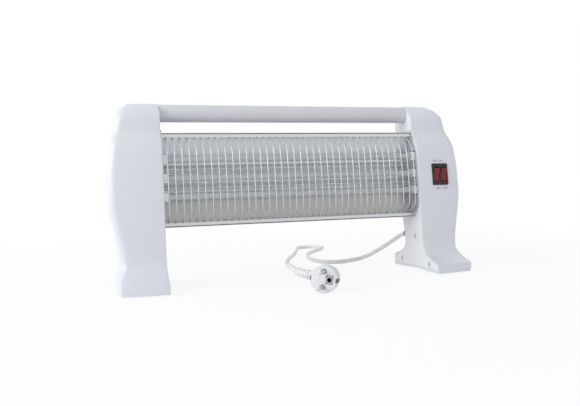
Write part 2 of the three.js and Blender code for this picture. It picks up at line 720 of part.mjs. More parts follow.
// Strip that follows the leaning row of tubes, with a hole for each.
function tubeStrip(axes, from, to, width, beyond, hole) {
  const [low, high] = [axes[0], axes.at(-1)];
  const lean = (high[0] - low[0]) / (high[1] - low[1]);
  const end = ([y, z], sign) => [y + sign * beyond * lean, z + sign * beyond];
  const [[bottomY, bottomZ], [topY, topZ]] = [end(low, -1), end(high, 1)];
  const strip = extrudedAlongX(outline([
    [bottomY - width / 2, bottomZ], [bottomY + width / 2, bottomZ], [topY + width / 2, topZ],
    [topY - width / 2, topZ]]), from, to);
  return solid(strip).subtract(join(axes.map(([y, z]) => hole(y, z))));
}

function retainerScrewSpots() {
  const [low, high] = [tubeAxes[0], tubeAxes.at(-1)];
  const lean = (high[0] - low[0]) / (high[1] - low[1]);
  const beyond = retainer.margin * retainer.screwShare;
  return [[low[0] - beyond * lean, low[1] - beyond], [high[0] + beyond * lean, high[1] + beyond]];
}

function retainerForm() {
  const reach = cap.stem / 2 + fitGap;
  const seat = retainerFrom + retainer.thickness;
  const strip = tubeStrip(tubeAxes, retainerFrom, seat, retainer.width, retainer.margin, (y, z) =>
    block([coverInside, y - reach, z - reach], [stemEnd, y + reach, z + reach]));
  return surface(strip.add(join(retainerScrewSpots().map(([y, z]) =>
    screwForm(seat, seat - inner - 2 * fitGap - 2 * screw.shank, y, z, -1)))));
}

// Brass strip that links the terminals of the given tubes.
function linkStripForm(axes) {
  return surface(tubeStrip(axes, stemEnd + fitGap, stemEnd + fitGap + busStrip.thickness, busStrip.width,
    busStrip.overhang, (y, z) => rodAlongX(capShoulder, terminalEnd, terminal.pin + fitGap).translate(0, y, z)));
}

// Reflector: lips, slanted panels and a trough behind each tube

function reflectorOutline() {
  const half = reflector.sheet / 2;
  const [topLip, bottomLip] = [reflector.topLipBack + half, reflector.bottomLipBack + half];
  const points = [
    [topLip, reflector.top - reflector.lip], [topLip, reflector.top - half],
    [topLip + reflector.flange, reflector.top - half]];
  for (const [i, [y, z]] of [...tubeAxes].reverse().entries()) {
    if (i > 0) points.push([y + reflector.ridge, z + tube.pitch / 2]);
    points.push([y + reflector.trough, z + reflector.troughHalf], [y + reflector.trough, z - reflector.troughHalf]);
  }
  points.push([bottomLip + reflector.flange, reflector.bottom + half], [bottomLip, reflector.bottom + half],
    [bottomLip, reflector.bottom + reflector.lip]);
  return foldedSheet(points, reflector.sheet);
}

// Rear casing: wraps over the reflector's flanges and carries rows of vent slots.
const casingTop = reflector.top + fitGap + casing.sheet / 2;
const casingBottom = reflector.bottom - fitGap - casing.sheet / 2;
const casingBack = (height) => tubeLine(height) + reflector.trough + casing.air;
const casingTopBack = casingBack(tubeHeights.at(-1) + tube.pitch / 2);
const casingBottomBack = casingBack(tubeHeights[0] - tube.pitch / 2);

function casingForm() {
  const sheet = extrudedAlongX(foldedSheet([
    [reflector.topLipBack, casingTop], [casingTopBack, casingTop], [casingBottomBack, casingBottom],
    [reflector.bottomLipBack, casingBottom]], casing.sheet), -sheetEnd, sheetEnd);
  const slots = [];
  const columnPitch = (2 * sheetEnd) / (casing.slotColumns + 1);
  for (const share of casing.slotRowShares) {
    const height = casingBottom + (casingTop - casingBottom) * share;
    for (let column = 0; column < casing.slotColumns; column += 1) {
      const middle = (column - (casing.slotColumns - 1) / 2) * columnPitch;
      slots.push(block(
        [middle - casing.slotLength / 2, reflector.trough, height - casing.slotHeight / 2],
        [middle + casing.slotLength / 2, casingTopBack + casing.air, height + casing.slotHeight / 2]));
    }
  }
  return cut(sheet, slots);
}

// End plate: steel cheek between the reflector and the housing, bowed with the guard.
function endPlateForm() {
  const [low, high] = [casingBottom - endPlate.margin, casingTop + endPlate.margin];
  const bow = endPlate.frontShares.map((share) => {
    const height = low + (high - low) * share;
    return [frontLine(height) + endPlate.behindFront + guard.wire, height];
  });
  const points = [
    [reflector.bottomLipBack - endPlate.margin, low], [casingBottomBack + endPlate.margin, low],
    [casingTopBack + endPlate.margin, high], [reflector.topLipBack - endPlate.margin, high], ...bow.reverse()];
  const [from, to] = [inner - fitGap - endPlate.sheet, inner - fitGap];
  return cut(extrudedAlongX(outline(points), from, to), [
    ...tubeAxes.map((axis) => capOpening(axis, from - overrun, to + overrun)),
    ...[railTop, railBottom].map(([y, z]) =>
      rodAlongX(from - overrun, to + overrun, guard.rail + fitGap).translate(0, y, z)),
    rodAlongX(from - overrun, to + overrun, cover.wireHole).translate(0, ...returnWire),
  ]);
}

// Wire guard: bowed wires welded to two rails that hide behind the reflector's lips

function guardForm() {
  const rails = [railTop, railBottom].map(([y, z]) =>
    rodAlongX(-inner - guard.seat, inner + guard.seat, guard.rail, 10).translate(0, y, z));
  const lipLow = reflector.top - reflector.lip;
  const lipHigh = reflector.bottom + reflector.lip;
  const clear = guard.wire + fitGap;
  const front = (height) => tubeLine(height) - guard.stand;
  const [top, bottom] = [tubeHeights.at(-1), tubeHeights[0]];
  const bend = tube.pitch / 2;
  const path = [
    railTop, [railTop[0] - fitGap, lipLow - clear], [front(top + bend) + guard.wire, top + bend],
    [front(top - bend), top - bend], [front(bottom), bottom], [front(bottom) + guard.wire, bottom - bend],
    [front(bottom) + guard.stand / 2, lipHigh + bend / 2 + clear], [railBottom[0] - fitGap, lipHigh + clear],
    railBottom];
  const wires = Array.from({ length: guard.wires }, (_, i) =>
    bentWire((i - (guard.wires - 1) / 2) * guard.pitch, path, guard.wire, guard.sides));
  return surface(join([...rails, ...wires]));
}

// Handle

function handleTube() {
  const end = inner - fitGap;
  const bore = handle.outer - handle.wall;
  return turnedAlongX([
    [-end, bore], [-end, handle.outer], [end, handle.outer], [end, bore], [-end, bore]], 28)
    .translate(0, handle.back, handleHeight);
}

function handlePlug() {
  const [from, to] = [inner - fitGap - handle.plugLength, inner - fitGap];
  const radius = handle.outer - handle.wall - fitGap;
  return turnedAlongX([
    [from, 0], [from, radius - handle.wall], [from + handle.wall, radius], [to, radius], [to, handle.pilot],
    [to - handle.pilotDepth, handle.pilot], [to - handle.pilotDepth, 0]], 20)
    .translate(0, handle.back, handleHeight);
}

const handleScrew = () =>
  screwForm(coverInside + fitGap, cover.thickness + screw.reach, handle.back, handleHeight, -1);

// Twin rocker switch, built facing -Y about the middle of its seat

const bezelFace = -rockerSwitch.bezel - fitGap;
const pivotY = bezelFace + rockerSwitch.pivotDepth;
const rockerOpening = rockerSwitch.rockerRadius + fitGap;
const rockerStep = rockerSwitch.rockerWidth / 2 + fitGap + rockerSwitch.bodyWall / 2;
const tabSpread = rockerSwitch.bodyTall * switchTab.spreadShare;
const tabSpots = [[-rockerStep, tabSpread], [rockerStep, tabSpread], [rockerStep, -tabSpread]];

function bezelForm() {
  const [half, rise] = [rockerSwitch.width / 2, rockerSwitch.tall / 2];
  const chamfer = rockerSwitch.bezel / 3;
  const ring = (y, shrink) => [
    [-half + shrink, y, -rise + shrink], [half - shrink, y, -rise + shrink], [half - shrink, y, rise - shrink],
    [-half + shrink, y, rise - shrink]];
  const frame = loft([ring(-fitGap, 0), ring(bezelFace + chamfer, 0), ring(bezelFace, chamfer)]);
  const openingHalf = rockerSwitch.rockerWidth / 2 + fitGap;
  return cut(frame, [-rockerStep, rockerStep].map((x) =>
    block([x - openingHalf, bezelFace - overrun, -rockerOpening], [x + openingHalf, overrun, rockerOpening])));
}

// Box behind the bezel, with a well and a pair of pivot sockets for each rocker and three tabs.
function switchBodyForm() {
  const [half, rise] = [rockerSwitch.bodyWidth / 2, rockerSwitch.bodyTall / 2];
  const wellHalf = rockerSwitch.rockerWidth / 2 + fitGap;
  const socket = rockerSwitch.axle + fitGap;
  const wells = [-rockerStep, rockerStep].flatMap((x) => [
    block([x - wellHalf, -overrun, -rockerOpening], [x + wellHalf, rockerSwitch.rockerRadius + fitGap, rockerOpening]),
    rodAlongX(x - wellHalf - rockerSwitch.axleReach, x + wellHalf + rockerSwitch.axleReach, socket)
      .translate(0, pivotY, 0),
  ]);
  const tabs = tabSpots.map(([x, z]) => block(
    [x - switchTab.width / 2, rockerSwitch.bodyDepth - overrun, z - switchTab.thickness / 2],
    [x + switchTab.width / 2, rockerSwitch.bodyDepth + switchTab.length, z + switchTab.thickness / 2]));
  const box = solid(block([-half, 0, -rise], [half, rockerSwitch.bodyDepth, rise]));
  return surface(box.subtract(join(wells)).add(join(tabs)));
}

// A rocker with a shallow V face, round ends and an axle stub each side, tipped to its rest position.
function rockerForm() {
  const { rockerFront: front, rockerValley: valley, rockerBack: back, rockerRadius: radius } = rockerSwitch;
  const cornerAngle = Math.acos(front / radius);
  const backAngle = Math.PI - Math.acos(back / radius);
  const shape = new THREE.Shape();
  shape.moveTo(-valley, 0);
  for (let i = 0; i <= 4; i += 1) {
    const angle = cornerAngle + ((backAngle - cornerAngle) * i) / 4;
    shape.lineTo(-radius * Math.cos(angle), radius * Math.sin(angle));
  }
  for (let i = 4; i >= 0; i -= 1) {
    const angle = cornerAngle + ((backAngle - cornerAngle) * i) / 4;
    shape.lineTo(-radius * Math.cos(angle), -radius * Math.sin(angle));
  }
  const half = rockerSwitch.rockerWidth / 2;
  const stub = half + rockerSwitch.axleReach;
  const whole = solid(extrudedAlongX(shape, -half, half)).add(solid(rodAlongX(-stub, stub, rockerSwitch.axle, 10)));
  return surface(whole).rotateX(THREE.MathUtils.degToRad(rockerSwitch.rockAngle)).translate(0, pivotY, 0);
}

// Wiring inside the right-hand housing

const blockLow = [inner + terminalBlock.fromInner, terminalBlock.front, terminalBlock.bottom];
const blockHigh = [
  blockLow[0] + terminalBlock.width, blockLow[1] + terminalBlock.depth, blockLow[2] + terminalBlock.tall];
const blockMiddle = blockLow.map((value, axis) => (value + blockHigh[axis]) / 2);

// Block with its mounting screw sunk in it; the screw's end stands in the shell's boss.
function terminalBlockForm() {
  const [, y, z] = blockMiddle;
  const seat = blockLow[0] + screw.headHeight + fitGap;
  const reach = blockHigh[0] - seat + screw.reach / 2 - screw.shank;
  const recess = rodAlongX(blockLow[0] - overrun, seat, screw.head + fitGap).translate(0, y, z);
  return surface(solid(block(blockLow, blockHigh)).subtract(solid(recess)).add(solid(screwForm(seat, reach, y, z))));
}

function clampBarForm() {
  const half = clamp.length / 2;
  const rise = clamp.tall / 2;
  const from = inletPoint.x + clamp.gapHalf;
  const bar = block([from, clampDepth - half, clampHeight - rise], [from + clamp.bar, clampDepth + half, clampHeight + rise]);
  const screws = clampScrewSpots().map(([y, z]) =>
    screwForm(from + clamp.bar, clamp.bar + screw.reach / 2, y, z, -1));
  return surface(solid(bar).subtract(solid(cordBore())).add(join(screws)));
}

// Rubber bush in the rear wall, with a tapered sleeve outside.
function bushForm() {
  const neck = inlet.hole;
  const wallIn = -housing.wall - fitGap;
  const outside = fitGap * 2;
  return placedAtInlet(turnedAlongY([
    [wallIn - inlet.flangeThickness, cordChannel], [wallIn - inlet.flangeThickness, inlet.flange - fitGap],
    [wallIn, inlet.flange - fitGap], [wallIn, neck], [outside, neck], [outside, inlet.flange],
    [outside + inlet.flangeThickness, inlet.flange], [outside + inlet.flangeThickness, inlet.sleeveBase],
    [outside + inlet.flangeThickness + inlet.sleeve, inlet.sleeveTip],
    [outside + inlet.flangeThickness + inlet.sleeve, cordChannel],
    [wallIn - inlet.flangeThickness, cordChannel]], 16));
}

// The held stretch of cord, from the sleeve's tip in through the clamp, and its two cores.
function heldCord() {
  const tip = 2 * fitGap + inlet.flangeThickness + inlet.sleeve;
  const jacket = placedAtInlet(rodAlongY(-inlet.reachIn, tip, cordSizes.diameter / 2, cordSizes.sides * 2));
  const root = new THREE.Vector3(0, -inlet.reachIn, 0);
  placedAtInlet(root);
  const cores = [-1, 1].map((sign) => {
    const [x, y, z] = [root.x + sign * core.spread, root.y, root.z];
    const entry = blockMiddle[0] + (sign * terminalBlock.width) / 4;
    return pipe([
      [x, y + overrun, z], [x, y - core.lift / 4, z + core.lift / 4], [x + core.lift / 3, y, z + core.lift],
      [entry, blockMiddle[1], blockLow[2] - core.lift / 2], [entry, blockMiddle[1], blockLow[2] - fitGap]],
    core.radius, lead.sides, 10);
  });
  return surface(join([jacket, ...cores]));
}

const leadPipe = (points, steps) => pipe(points, lead.radius, lead.sides, steps);

// Leads from the tubes and the terminal block to the switch's tabs.
const slack = tube.pitch / 3;
const [upperTab, lowerTab, supplyTab] = tabSpots.map(([x, z]) =>
  placedAtSwitch(new THREE.Vector3(x, rockerSwitch.bodyDepth + switchTab.length + fitGap, z)).toArray());
const behind = ([x, y, z]) => [x, y + slack / 2, z];

function upperTubeLead() {
  const [y, z] = tubeAxes.at(-1);
  const start = terminalEnd + fitGap;
  return leadPipe([[start, y, z], [start + slack, y, z], [upperTab[0], upperTab[1] + slack, upperTab[2] + slack],
    behind(upperTab), upperTab], 10);
}

function lowerTubesLead() {
  const [y, z] = tubeAxes[1];
  const start = terminalEnd + fitGap;
  return leadPipe([[start, y, z], [start + slack / 4, y, z], [start + slack / 3, y + slack, z - slack / 4],
    [start + slack / 2, y + 2 * slack, z - slack / 2], [lowerTab[0], lowerTab[1] + slack, lowerTab[2] - slack / 2], behind(lowerTab), lowerTab], 12);
}

function supplyLead() {
  const [x, y] = [blockMiddle[0] + terminalBlock.width / 4, blockMiddle[1]];
  return leadPipe([[x, y, blockHigh[2] + fitGap], [x, y, blockHigh[2] + slack],
    [supplyTab[0], supplyTab[1] + slack, supplyTab[2] - slack], behind(supplyTab), supplyTab], 10);
}

// The common return runs from the left-hand strip behind the reflector to the terminal block.
function returnLead() {
  const [y, z] = returnWire;
  const far = -stemEnd - 2 * slack;
  const foot = tubeAxes[0][1] - busStrip.overhang - lead.radius - fitGap;
  const entry = blockMiddle[0] - terminalBlock.width / 4;
  return leadPipe([
    [-stemEnd - fitGap - busStrip.thickness, tubeAxes[0][0], foot],
    [far, tubeAxes[0][0] + slack, foot - slack / 2], [far, y, z], [-stemEnd, y, z],
    [-inner + slack, y, z], [inner - slack, y, z], [stemEnd, y, z],
    [blockLow[0] - slack, y, z + slack / 4], [entry - slack / 2, y, blockHigh[2] + 1.5 * slack],
    [entry, blockMiddle[1] + lead.radius, blockHigh[2] + 1.5 * slack], [entry, blockMiddle[1], blockHigh[2] + fitGap]],
  36);
}

// Plug, built along +Y from the middle of its face

const plugTilt = THREE.MathUtils.degToRad(plug.tilt);
const plugRest = plug.radius * Math.cos(plugTilt) + plug.rim * Math.sin(plugTilt);
const plugGroup = new THREE.Group();
plugGroup.position.set(plug.across, plug.forward, plugRest);
plugGroup.rotation.set(
  -plugTilt, THREE.MathUtils.degToRad(plug.roll), -THREE.MathUtils.degToRad(plug.turn), 'ZXY');

function plugBodyForm() {
  const body = solid(turnedAlongY([
    [0, 0], [0, plug.radius - plug.edge], [plug.edge, plug.radius], [plug.rim, plug.radius],
    [plug.rim + plug.step, plug.grip], [plug.gripEnd, plug.grip],
    [plug.length - plug.step * 3, (plug.grip + plug.nose) / 2 + plug.step], [plug.length, plug.nose], [plug.length, 0],
  ], 32));
  const neck = turnedAlongX([
    [-plug.neckEnd, 0], [-plug.neckEnd, plug.neckTip], [-plug.grip / 2, plug.neckBase], [-plug.grip / 2, 0]])
    .translate(0, plug.neckDepth, 0);
  const [halfWide, halfTall] = [plug.pocketWidth / 2, plug.pocketTall / 2];
  const pocket = solid(block(
    [plug.earthOffset - halfWide, -overrun, -halfTall], [plug.earthOffset + halfWide, plug.pocketDepth, halfTall]))
    .subtract(solid(rodAlongY(-2 * overrun, plug.length, plug.pocketBoss, 20).translate(plug.earthOffset, 0, 0)));
  const slotHalf = strap.width / 2 + fitGap;
  const slotEnd = strap.depth + strap.thickness + fitGap;
  const slotFloor = plug.radius - strap.thickness - 2 * fitGap;
  const beyond = plug.radius + overrun;
  return surface(body.add(solid(neck)).subtract(pocket).subtract(join([
    ...[-1, 1].map((sign) => rodAlongY(-overrun, plug.socketDepth, plug.pin + fitGap)
      .translate(0, 0, (sign * plug.pinSpacing) / 2)),
    rodAlongY(-overrun, slotEnd, strap.tube + fitGap, 16).translate(plug.earthOffset, 0, 0),
    block([-beyond, strap.depth - fitGap, -slotHalf], [beyond, slotEnd, slotHalf]),
    block([-beyond, -overrun, -slotHalf], [-slotFloor, slotEnd, slotHalf]),
    block([slotFloor, -overrun, -slotHalf], [beyond, slotEnd, slotHalf]),
  ])));
}

function plugPin() {
  return turnedAlongY([
    [-plug.pinLength, 0], [-plug.pinLength, plug.pin * 0.55], [-plug.pinLength + plug.pin * 0.6, plug.pin],
    [plug.socketDepth - fitGap, plug.pin], [plug.socketDepth - fitGap, 0]], 12);
}

// One bent strip: a clip on each side, joined across the inside of the plug, with the earth socket on it.
function earthStrap() {
  const outer = plug.radius - fitGap;
  const [half, back] = [strap.width / 2, strap.depth + strap.thickness];
  return surface(join([
    block([-outer, strap.depth, -half], [outer, back, half]),
    block([-outer, fitGap, -half], [-outer + strap.thickness, back, half]),
    block([outer - strap.thickness, fitGap, -half], [outer, back, half]),
    turnedAlongY([[2 * fitGap, strap.bore], [2 * fitGap, strap.tube], [strap.depth + fitGap, strap.tube],
      [strap.depth + fitGap, strap.bore], [2 * fitGap, strap.bore]], 16).translate(plug.earthOffset, 0, 0),
  ]));
}

function bootForm() {
  const [x, y] = [-plug.neckEnd - fitGap, plug.neckDepth];
  const run = new THREE.QuadraticBezierCurve3(
    new THREE.Vector3(x, y, 0), new THREE.Vector3(x - boot.reach, y, 0),
    new THREE.Vector3(x - boot.reach - boot.bend, y + boot.back, boot.rise));
  const rings = 4 * boot.ribs;
  return sleeve(run, (share) => {
    const ring = Math.round(share * rings) % 4;
    return boot.base + (boot.tip - boot.base) * share + (ring === 1 || ring === 2 ? boot.rib : 0);
  }, boot.sides, rings);
}

// Assembly

const sides = [['right', (geometry) => geometry], ['left', mirrored]];
const covers = { right: surface(rightCoverForm()), left: surface(coverForm()) };
const shells = { right: surface(rightShellForm()), left: surface(shellForm()) };
for (const [side, turned] of sides) {
  piece(`${side}_outer_shell`, turned(shells[side]), finishes.shell);
  piece(`${side}_inner_cover`, turned(covers[side]), finishes.cover);
  piece(`${side}_front_pad`, turned(padForm(padSpots[0], 0, 0, pad.thickness)), finishes.rubber);
  piece(`${side}_rear_pad`, turned(padForm(padSpots[1], 0, 0, pad.thickness)), finishes.rubber);
  piece(`${side}_end_plate`, turned(endPlateForm()), finishes.steel);
  tubeAxes.forEach((axis, i) => piece(`${side}_tube_cap_${i + 1}`, turned(capForm(axis)), finishes.ceramic));
  piece(`${side}_cap_retainer`, turned(retainerForm()), finishes.screwSteel);
  tubeAxes.forEach((axis, i) =>
    piece(`${side}_tube_terminal_${i + 1}`, turned(terminalForm(axis)), finishes.brass));
  piece(`${side}_handle_plug`, turned(handlePlug()), finishes.insulation);
  piece(`${side}_handle_screw`, turned(handleScrew()), finishes.screwSteel);
}
piece('left_bus_strip', mirrored(linkStripForm(tubeAxes)), finishes.brass);
piece('right_link_strip', linkStripForm(tubeAxes.slice(0, 2)), finishes.brass);

const coilPoints = coilPath();
tubeAxes.forEach((axis, i) => {
  piece(`quartz_tube_${i + 1}`, quartzTube(axis), finishes.quartz);
  piece(`heating_coil_${i + 1}`, coilForm(coilPoints, axis), finishes.resistance);
});
console.log('least gap between curls:', leastCoilGap(coilPoints).toFixed(2), 'mm');

piece('reflector', extrudedAlongX(reflectorOutline(), -sheetEnd, sheetEnd), finishes.steel);
piece('rear_casing', casingForm(), finishes.casing);
piece('wire_guard', guardForm(), finishes.wire);

piece('handle_tube', handleTube(), finishes.shell);

piece('switch_bezel', placedAtSwitch(bezelForm()), finishes.black);
piece('switch_body', placedAtSwitch(switchBodyForm()), finishes.black);
piece('rocker_left', placedAtSwitch(rockerForm().translate(-rockerStep, 0, 0)), finishes.red);
piece('rocker_right', placedAtSwitch(rockerForm().translate(rockerStep, 0, 0)), finishes.red);

piece('terminal_block', terminalBlockForm(), finishes.insulation);
piece('cord_clamp', clampBarForm(), finishes.insulation);
piece('upper_tube_lead', upperTubeLead(), finishes.insulation);
piece('lower_tubes_lead', lowerTubesLead(), finishes.insulation);
piece('supply_lead', supplyLead(), finishes.insulation);
piece('return_lead', returnLead(), finishes.insulation);

piece('cord_bush', bushForm(), finishes.cord);
piece('held_cord', heldCord(), finishes.cord);
piece('mains_cord', pipe(cordRoute, cordSizes.diameter / 2, cordSizes.sides, cordSizes.steps), finishes.cord);

heater.add(plugGroup);
piece('plug_body', plugBodyForm(), finishes.plug, plugGroup);
piece('plug_boot', bootForm(), finishes.plug, plugGroup);
for (const [place, sign] of [['upper', 1], ['lower', -1]]) {
  const pin = plugPin().translate(0, 0, (sign * plug.pinSpacing) / 2);
  piece(`plug_${place}_pin`, pin, finishes.steel, plugGroup);
}
piece('plug_earth_strap', earthStrap(), finishes.steel, plugGroup);

export default heater;
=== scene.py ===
"""The looks of a three-tube quartz heater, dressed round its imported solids.

Sizes in the classes are millimetres in the object's own frame: X runs along the heater, the front
faces -Y, Z is up and the origin is on the floor. MM turns them into metres when a mesh is made.
"""

from __future__ import annotations

import logging
import math
import sys
from dataclasses import dataclass, field
from enum import Enum
from functools import cached_property, lru_cache
from typing import Callable, Sequence, Union

import bmesh
import bpy
import numpy as np
from mathutils import Matrix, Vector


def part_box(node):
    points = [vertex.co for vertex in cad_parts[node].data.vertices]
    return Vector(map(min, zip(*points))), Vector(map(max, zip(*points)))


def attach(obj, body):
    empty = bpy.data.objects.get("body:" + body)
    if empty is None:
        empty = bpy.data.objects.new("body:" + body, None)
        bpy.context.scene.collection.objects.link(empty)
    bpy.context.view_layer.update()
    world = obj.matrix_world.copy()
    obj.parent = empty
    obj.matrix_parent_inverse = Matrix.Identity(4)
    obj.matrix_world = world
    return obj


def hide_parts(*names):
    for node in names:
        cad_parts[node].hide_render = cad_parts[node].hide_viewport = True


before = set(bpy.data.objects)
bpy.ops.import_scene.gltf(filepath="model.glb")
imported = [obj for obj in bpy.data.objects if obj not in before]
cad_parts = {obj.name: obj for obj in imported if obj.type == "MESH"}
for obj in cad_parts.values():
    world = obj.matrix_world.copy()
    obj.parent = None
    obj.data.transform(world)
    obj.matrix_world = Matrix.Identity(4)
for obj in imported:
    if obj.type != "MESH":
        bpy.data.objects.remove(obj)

Array = np.ndarray
Colour = tuple[float, float, float]
Span = Sequence[float]

Line = Callable[[Union[float, Array]], Array]  # a line of a view: its value at each height

MM = 0.001
FIT_GAP = 0.3
OVERRUN = 1.0  # how far a cutter runs past the face that it opens
LAP = 1.0  # how far a joined part starts inside what carries it
LOG = logging.getLogger("heater")


class Body(Enum):
    """What a piece moves with."""

    HEATER = "heater"
    LEFT_ROCKER = "left_rocker"
    RIGHT_ROCKER = "right_rocker"


class Side(Enum):
    """Which end of the heater a housing closes; the value is the sign of its X."""

    RIGHT = 1
    LEFT = -1

    @property
    def word(self) -> str:
        """The word that starts the names of this end's pieces."""
        return self.name.lower()


# Surfaces as arrays


@dataclass
class Skin:
    """A surface in millimetres: its points, and the corners of its faces in blocks of equal count."""

    points: Array
    faces: list[Array]

    def __add__(self, other: Skin) -> Skin:
        """Both surfaces as one."""
        moved = [block + len(self.points) for block in other.faces]
        return Skin(np.vstack([self.points, other.points]), [*self.faces, *moved])

    def placed(self, turn: Array, place: Span) -> Skin:
        """The surface turned by a 3 by 3 matrix and then moved.

        Args:
            turn: The matrix.
            place: Where the surface's own zero goes.

        Returns:
            The moved surface.
        """
        return Skin(self.points @ np.asarray(turn).T + np.asarray(place), self.faces)

    def shifted(self, place: Span) -> Skin:
        """The surface moved without a turn."""
        return Skin(self.points + np.asarray(place, float), self.faces)

    def for_side(self, side: Side) -> Skin:
        """The surface of a right-hand piece, mirrored in X if it belongs on the left."""
        return Skin(self.points * (side.value, 1, 1), self.faces)


def joined(skins: Sequence[Skin]) -> Skin:
    """Several surfaces as one.

    Args:
        skins: The surfaces.

    Returns:
        The whole, with the faces of each after those of the one before.
    """
    whole = skins[0]
    for skin in skins[1:]:
        whole = whole + skin
    return whole


def grid(points: Array, wrap_rows: bool = False, wrap_columns: bool = False, lids: bool = False) -> Skin:
    """Quads between the neighbours of a grid: each point with the next in its row and its column.

    Args:
        points: Rows by columns by three.
        wrap_rows: Joins the last row to the first.
        wrap_columns: Joins the last column to the first.
        lids: Closes the first and last rows with a face each.

    Returns:
        The surface.
    """
    rows, columns = points.shape[:2]
    number = np.arange(rows * columns).reshape(rows, columns)
    ends = [number[:1], number[-1:, ::-1]]
    if wrap_rows:
        number = np.vstack([number, number[:1]])
    if wrap_columns:
        number = np.hstack([number, number[:, :1]])
    corners = [number[:-1, :-1], number[1:, :-1], number[1:, 1:], number[:-1, 1:]]
    quads = np.stack(corners, -1).reshape(-1, 4)
    return Skin(points.reshape(-1, 3), [quads, *(ends if lids else [])])


def along_axis(axis: str, along: Array, first: Array, second: Array) -> Array:
    """Points from a place along an axis and two places square to it, in X, Y, Z order."""
    order = {"X": (along, first, second), "Y": (first, along, second), "Z": (first, second, along)}
    return np.stack(order[axis], -1)


def turned(profile: Sequence[Span], axis: str = "X", steps: int = 48, closed: bool = False) -> Skin:
    """A profile turned about an axis: each radius times the cosine and sine of every angle.

    Args:
        profile: Pairs of place along the axis and radius.
        axis: The letter of the axis.
        steps: Angles in the round.
        closed: Whether the profile runs back to its start, as a ring's does.

    Returns:
        The surface of revolution.
    """
    along, radius = np.asarray(profile, float).T[:, :, None]
    angle = np.linspace(0, 2 * np.pi, steps, endpoint=False)[None]
    points = along_axis(axis, along + 0 * angle, radius * np.cos(angle), radius * np.sin(angle))
    return grid(points, wrap_rows=closed, wrap_columns=True)


def extruded(outline: Sequence[Span], axis: str, start: float, end: float) -> Skin:
    """An outline carried straight along an axis, with flat ends.

    Args:
        outline: Pairs in the other two axes, in X, Y, Z order.
        axis: The letter of the axis.
        start: Where it starts.
        end: Where it ends.

    Returns:
        The prism.
    """
    first, second = np.asarray(outline, float).T[:, None, :]
    along = np.array([[start], [end]]) + 0 * first
    return grid(along_axis(axis, along, first + 0 * along, second + 0 * along), wrap_columns=True, lids=True)


def box(low: Span, high: Span) -> Skin:
    """A block between two corners."""
    (x0, y0, z0), (x1, y1, z1) = low, high
    return extruded([(x0, y0), (x1, y0), (x1, y1), (x0, y1)], "Z", z0, z1)


def rod(
    start: float, end: float, radius: float, centre: Span = (0, 0, 0), axis: str = "X", steps: int = 40
) -> Skin:
    """A plain cylinder along an axis."""
    return turned([(start, 0), (start, radius), (end, radius), (end, 0)], axis, steps).shifted(centre)


def parabola(start: Array, corner: Array, end: Array, share: Array) -> Array:
    """Points that leave a start towards a corner and come to an end: the three blended by a share."""
    return (1 - share) ** 2 * start + 2 * share * (1 - share) * corner + share**2 * end


def eased(corners: Sequence[Span], radius: Union[float, Span], steps: int = 6, closed: bool = False) -> Array:
    """A line of corners with each one rounded by a parabola that starts and ends beside it.

    Args:
        corners: The corners.
        radius: How far before and after a corner the rounding reaches, one value or one for each.
        steps: Points on each rounding.
        closed: Whether the line runs back to its start.

    Returns:
        The points of the rounded line.
    """
    place = np.asarray(corners, float)
    into, out = place - np.roll(place, 1, 0), np.roll(place, -1, 0) - place
    lengths = np.linalg.norm(into, axis=1), np.linalg.norm(out, axis=1)
    reach = np.minimum(np.broadcast_to(radius, len(place)), np.minimum(*lengths) / 2)[:, None]
    start = place - into * reach / np.maximum(lengths[0], 1e-9)[:, None]
    end = place + out * reach / np.maximum(lengths[1], 1e-9)[:, None]
    curve = parabola(start[:, None], place[:, None], end[:, None], np.linspace(0, 1, steps)[None, :, None])
    if closed:
        return curve.reshape(-1, place.shape[1])
    return np.vstack([place[:1], curve[1:-1].reshape(-1, place.shape[1]), place[-1:]])


def unit(vectors: Array) -> Array:
    """The vectors at length one."""
    return vectors / np.maximum(np.linalg.norm(vectors, axis=-1, keepdims=True), 1e-12)


def carried(path: Array, radius: Union[float, Array], sides: int, reference: Span = (0, 0, 1)) -> Skin:
    """A round section carried along a path, each ring square to the path's direction there.

    Args:
        path: The points of the path.
        radius: The section's radius, one value or one for each point.
        sides: Points in each ring.
        reference: A direction, or one for each point, that the rings' first axes lean to.

    Returns:
        The closed tube.
    """
    along = unit(np.gradient(path, axis=0))
    lean = np.broadcast_to(np.asarray(reference, float), path.shape)
    first = unit(lean - np.sum(lean * along, axis=1, keepdims=True) * along)
    second = np.cross(along, first)
    angle = np.linspace(0, 2 * np.pi, sides, endpoint=False)[None, :, None]
    size = np.broadcast_to(radius, len(path))[:, None, None]
    rings = path[:, None] + size * (np.cos(angle) * first[:, None] + np.sin(angle) * second[:, None])
    return grid(rings, wrap_columns=True, lids=True)


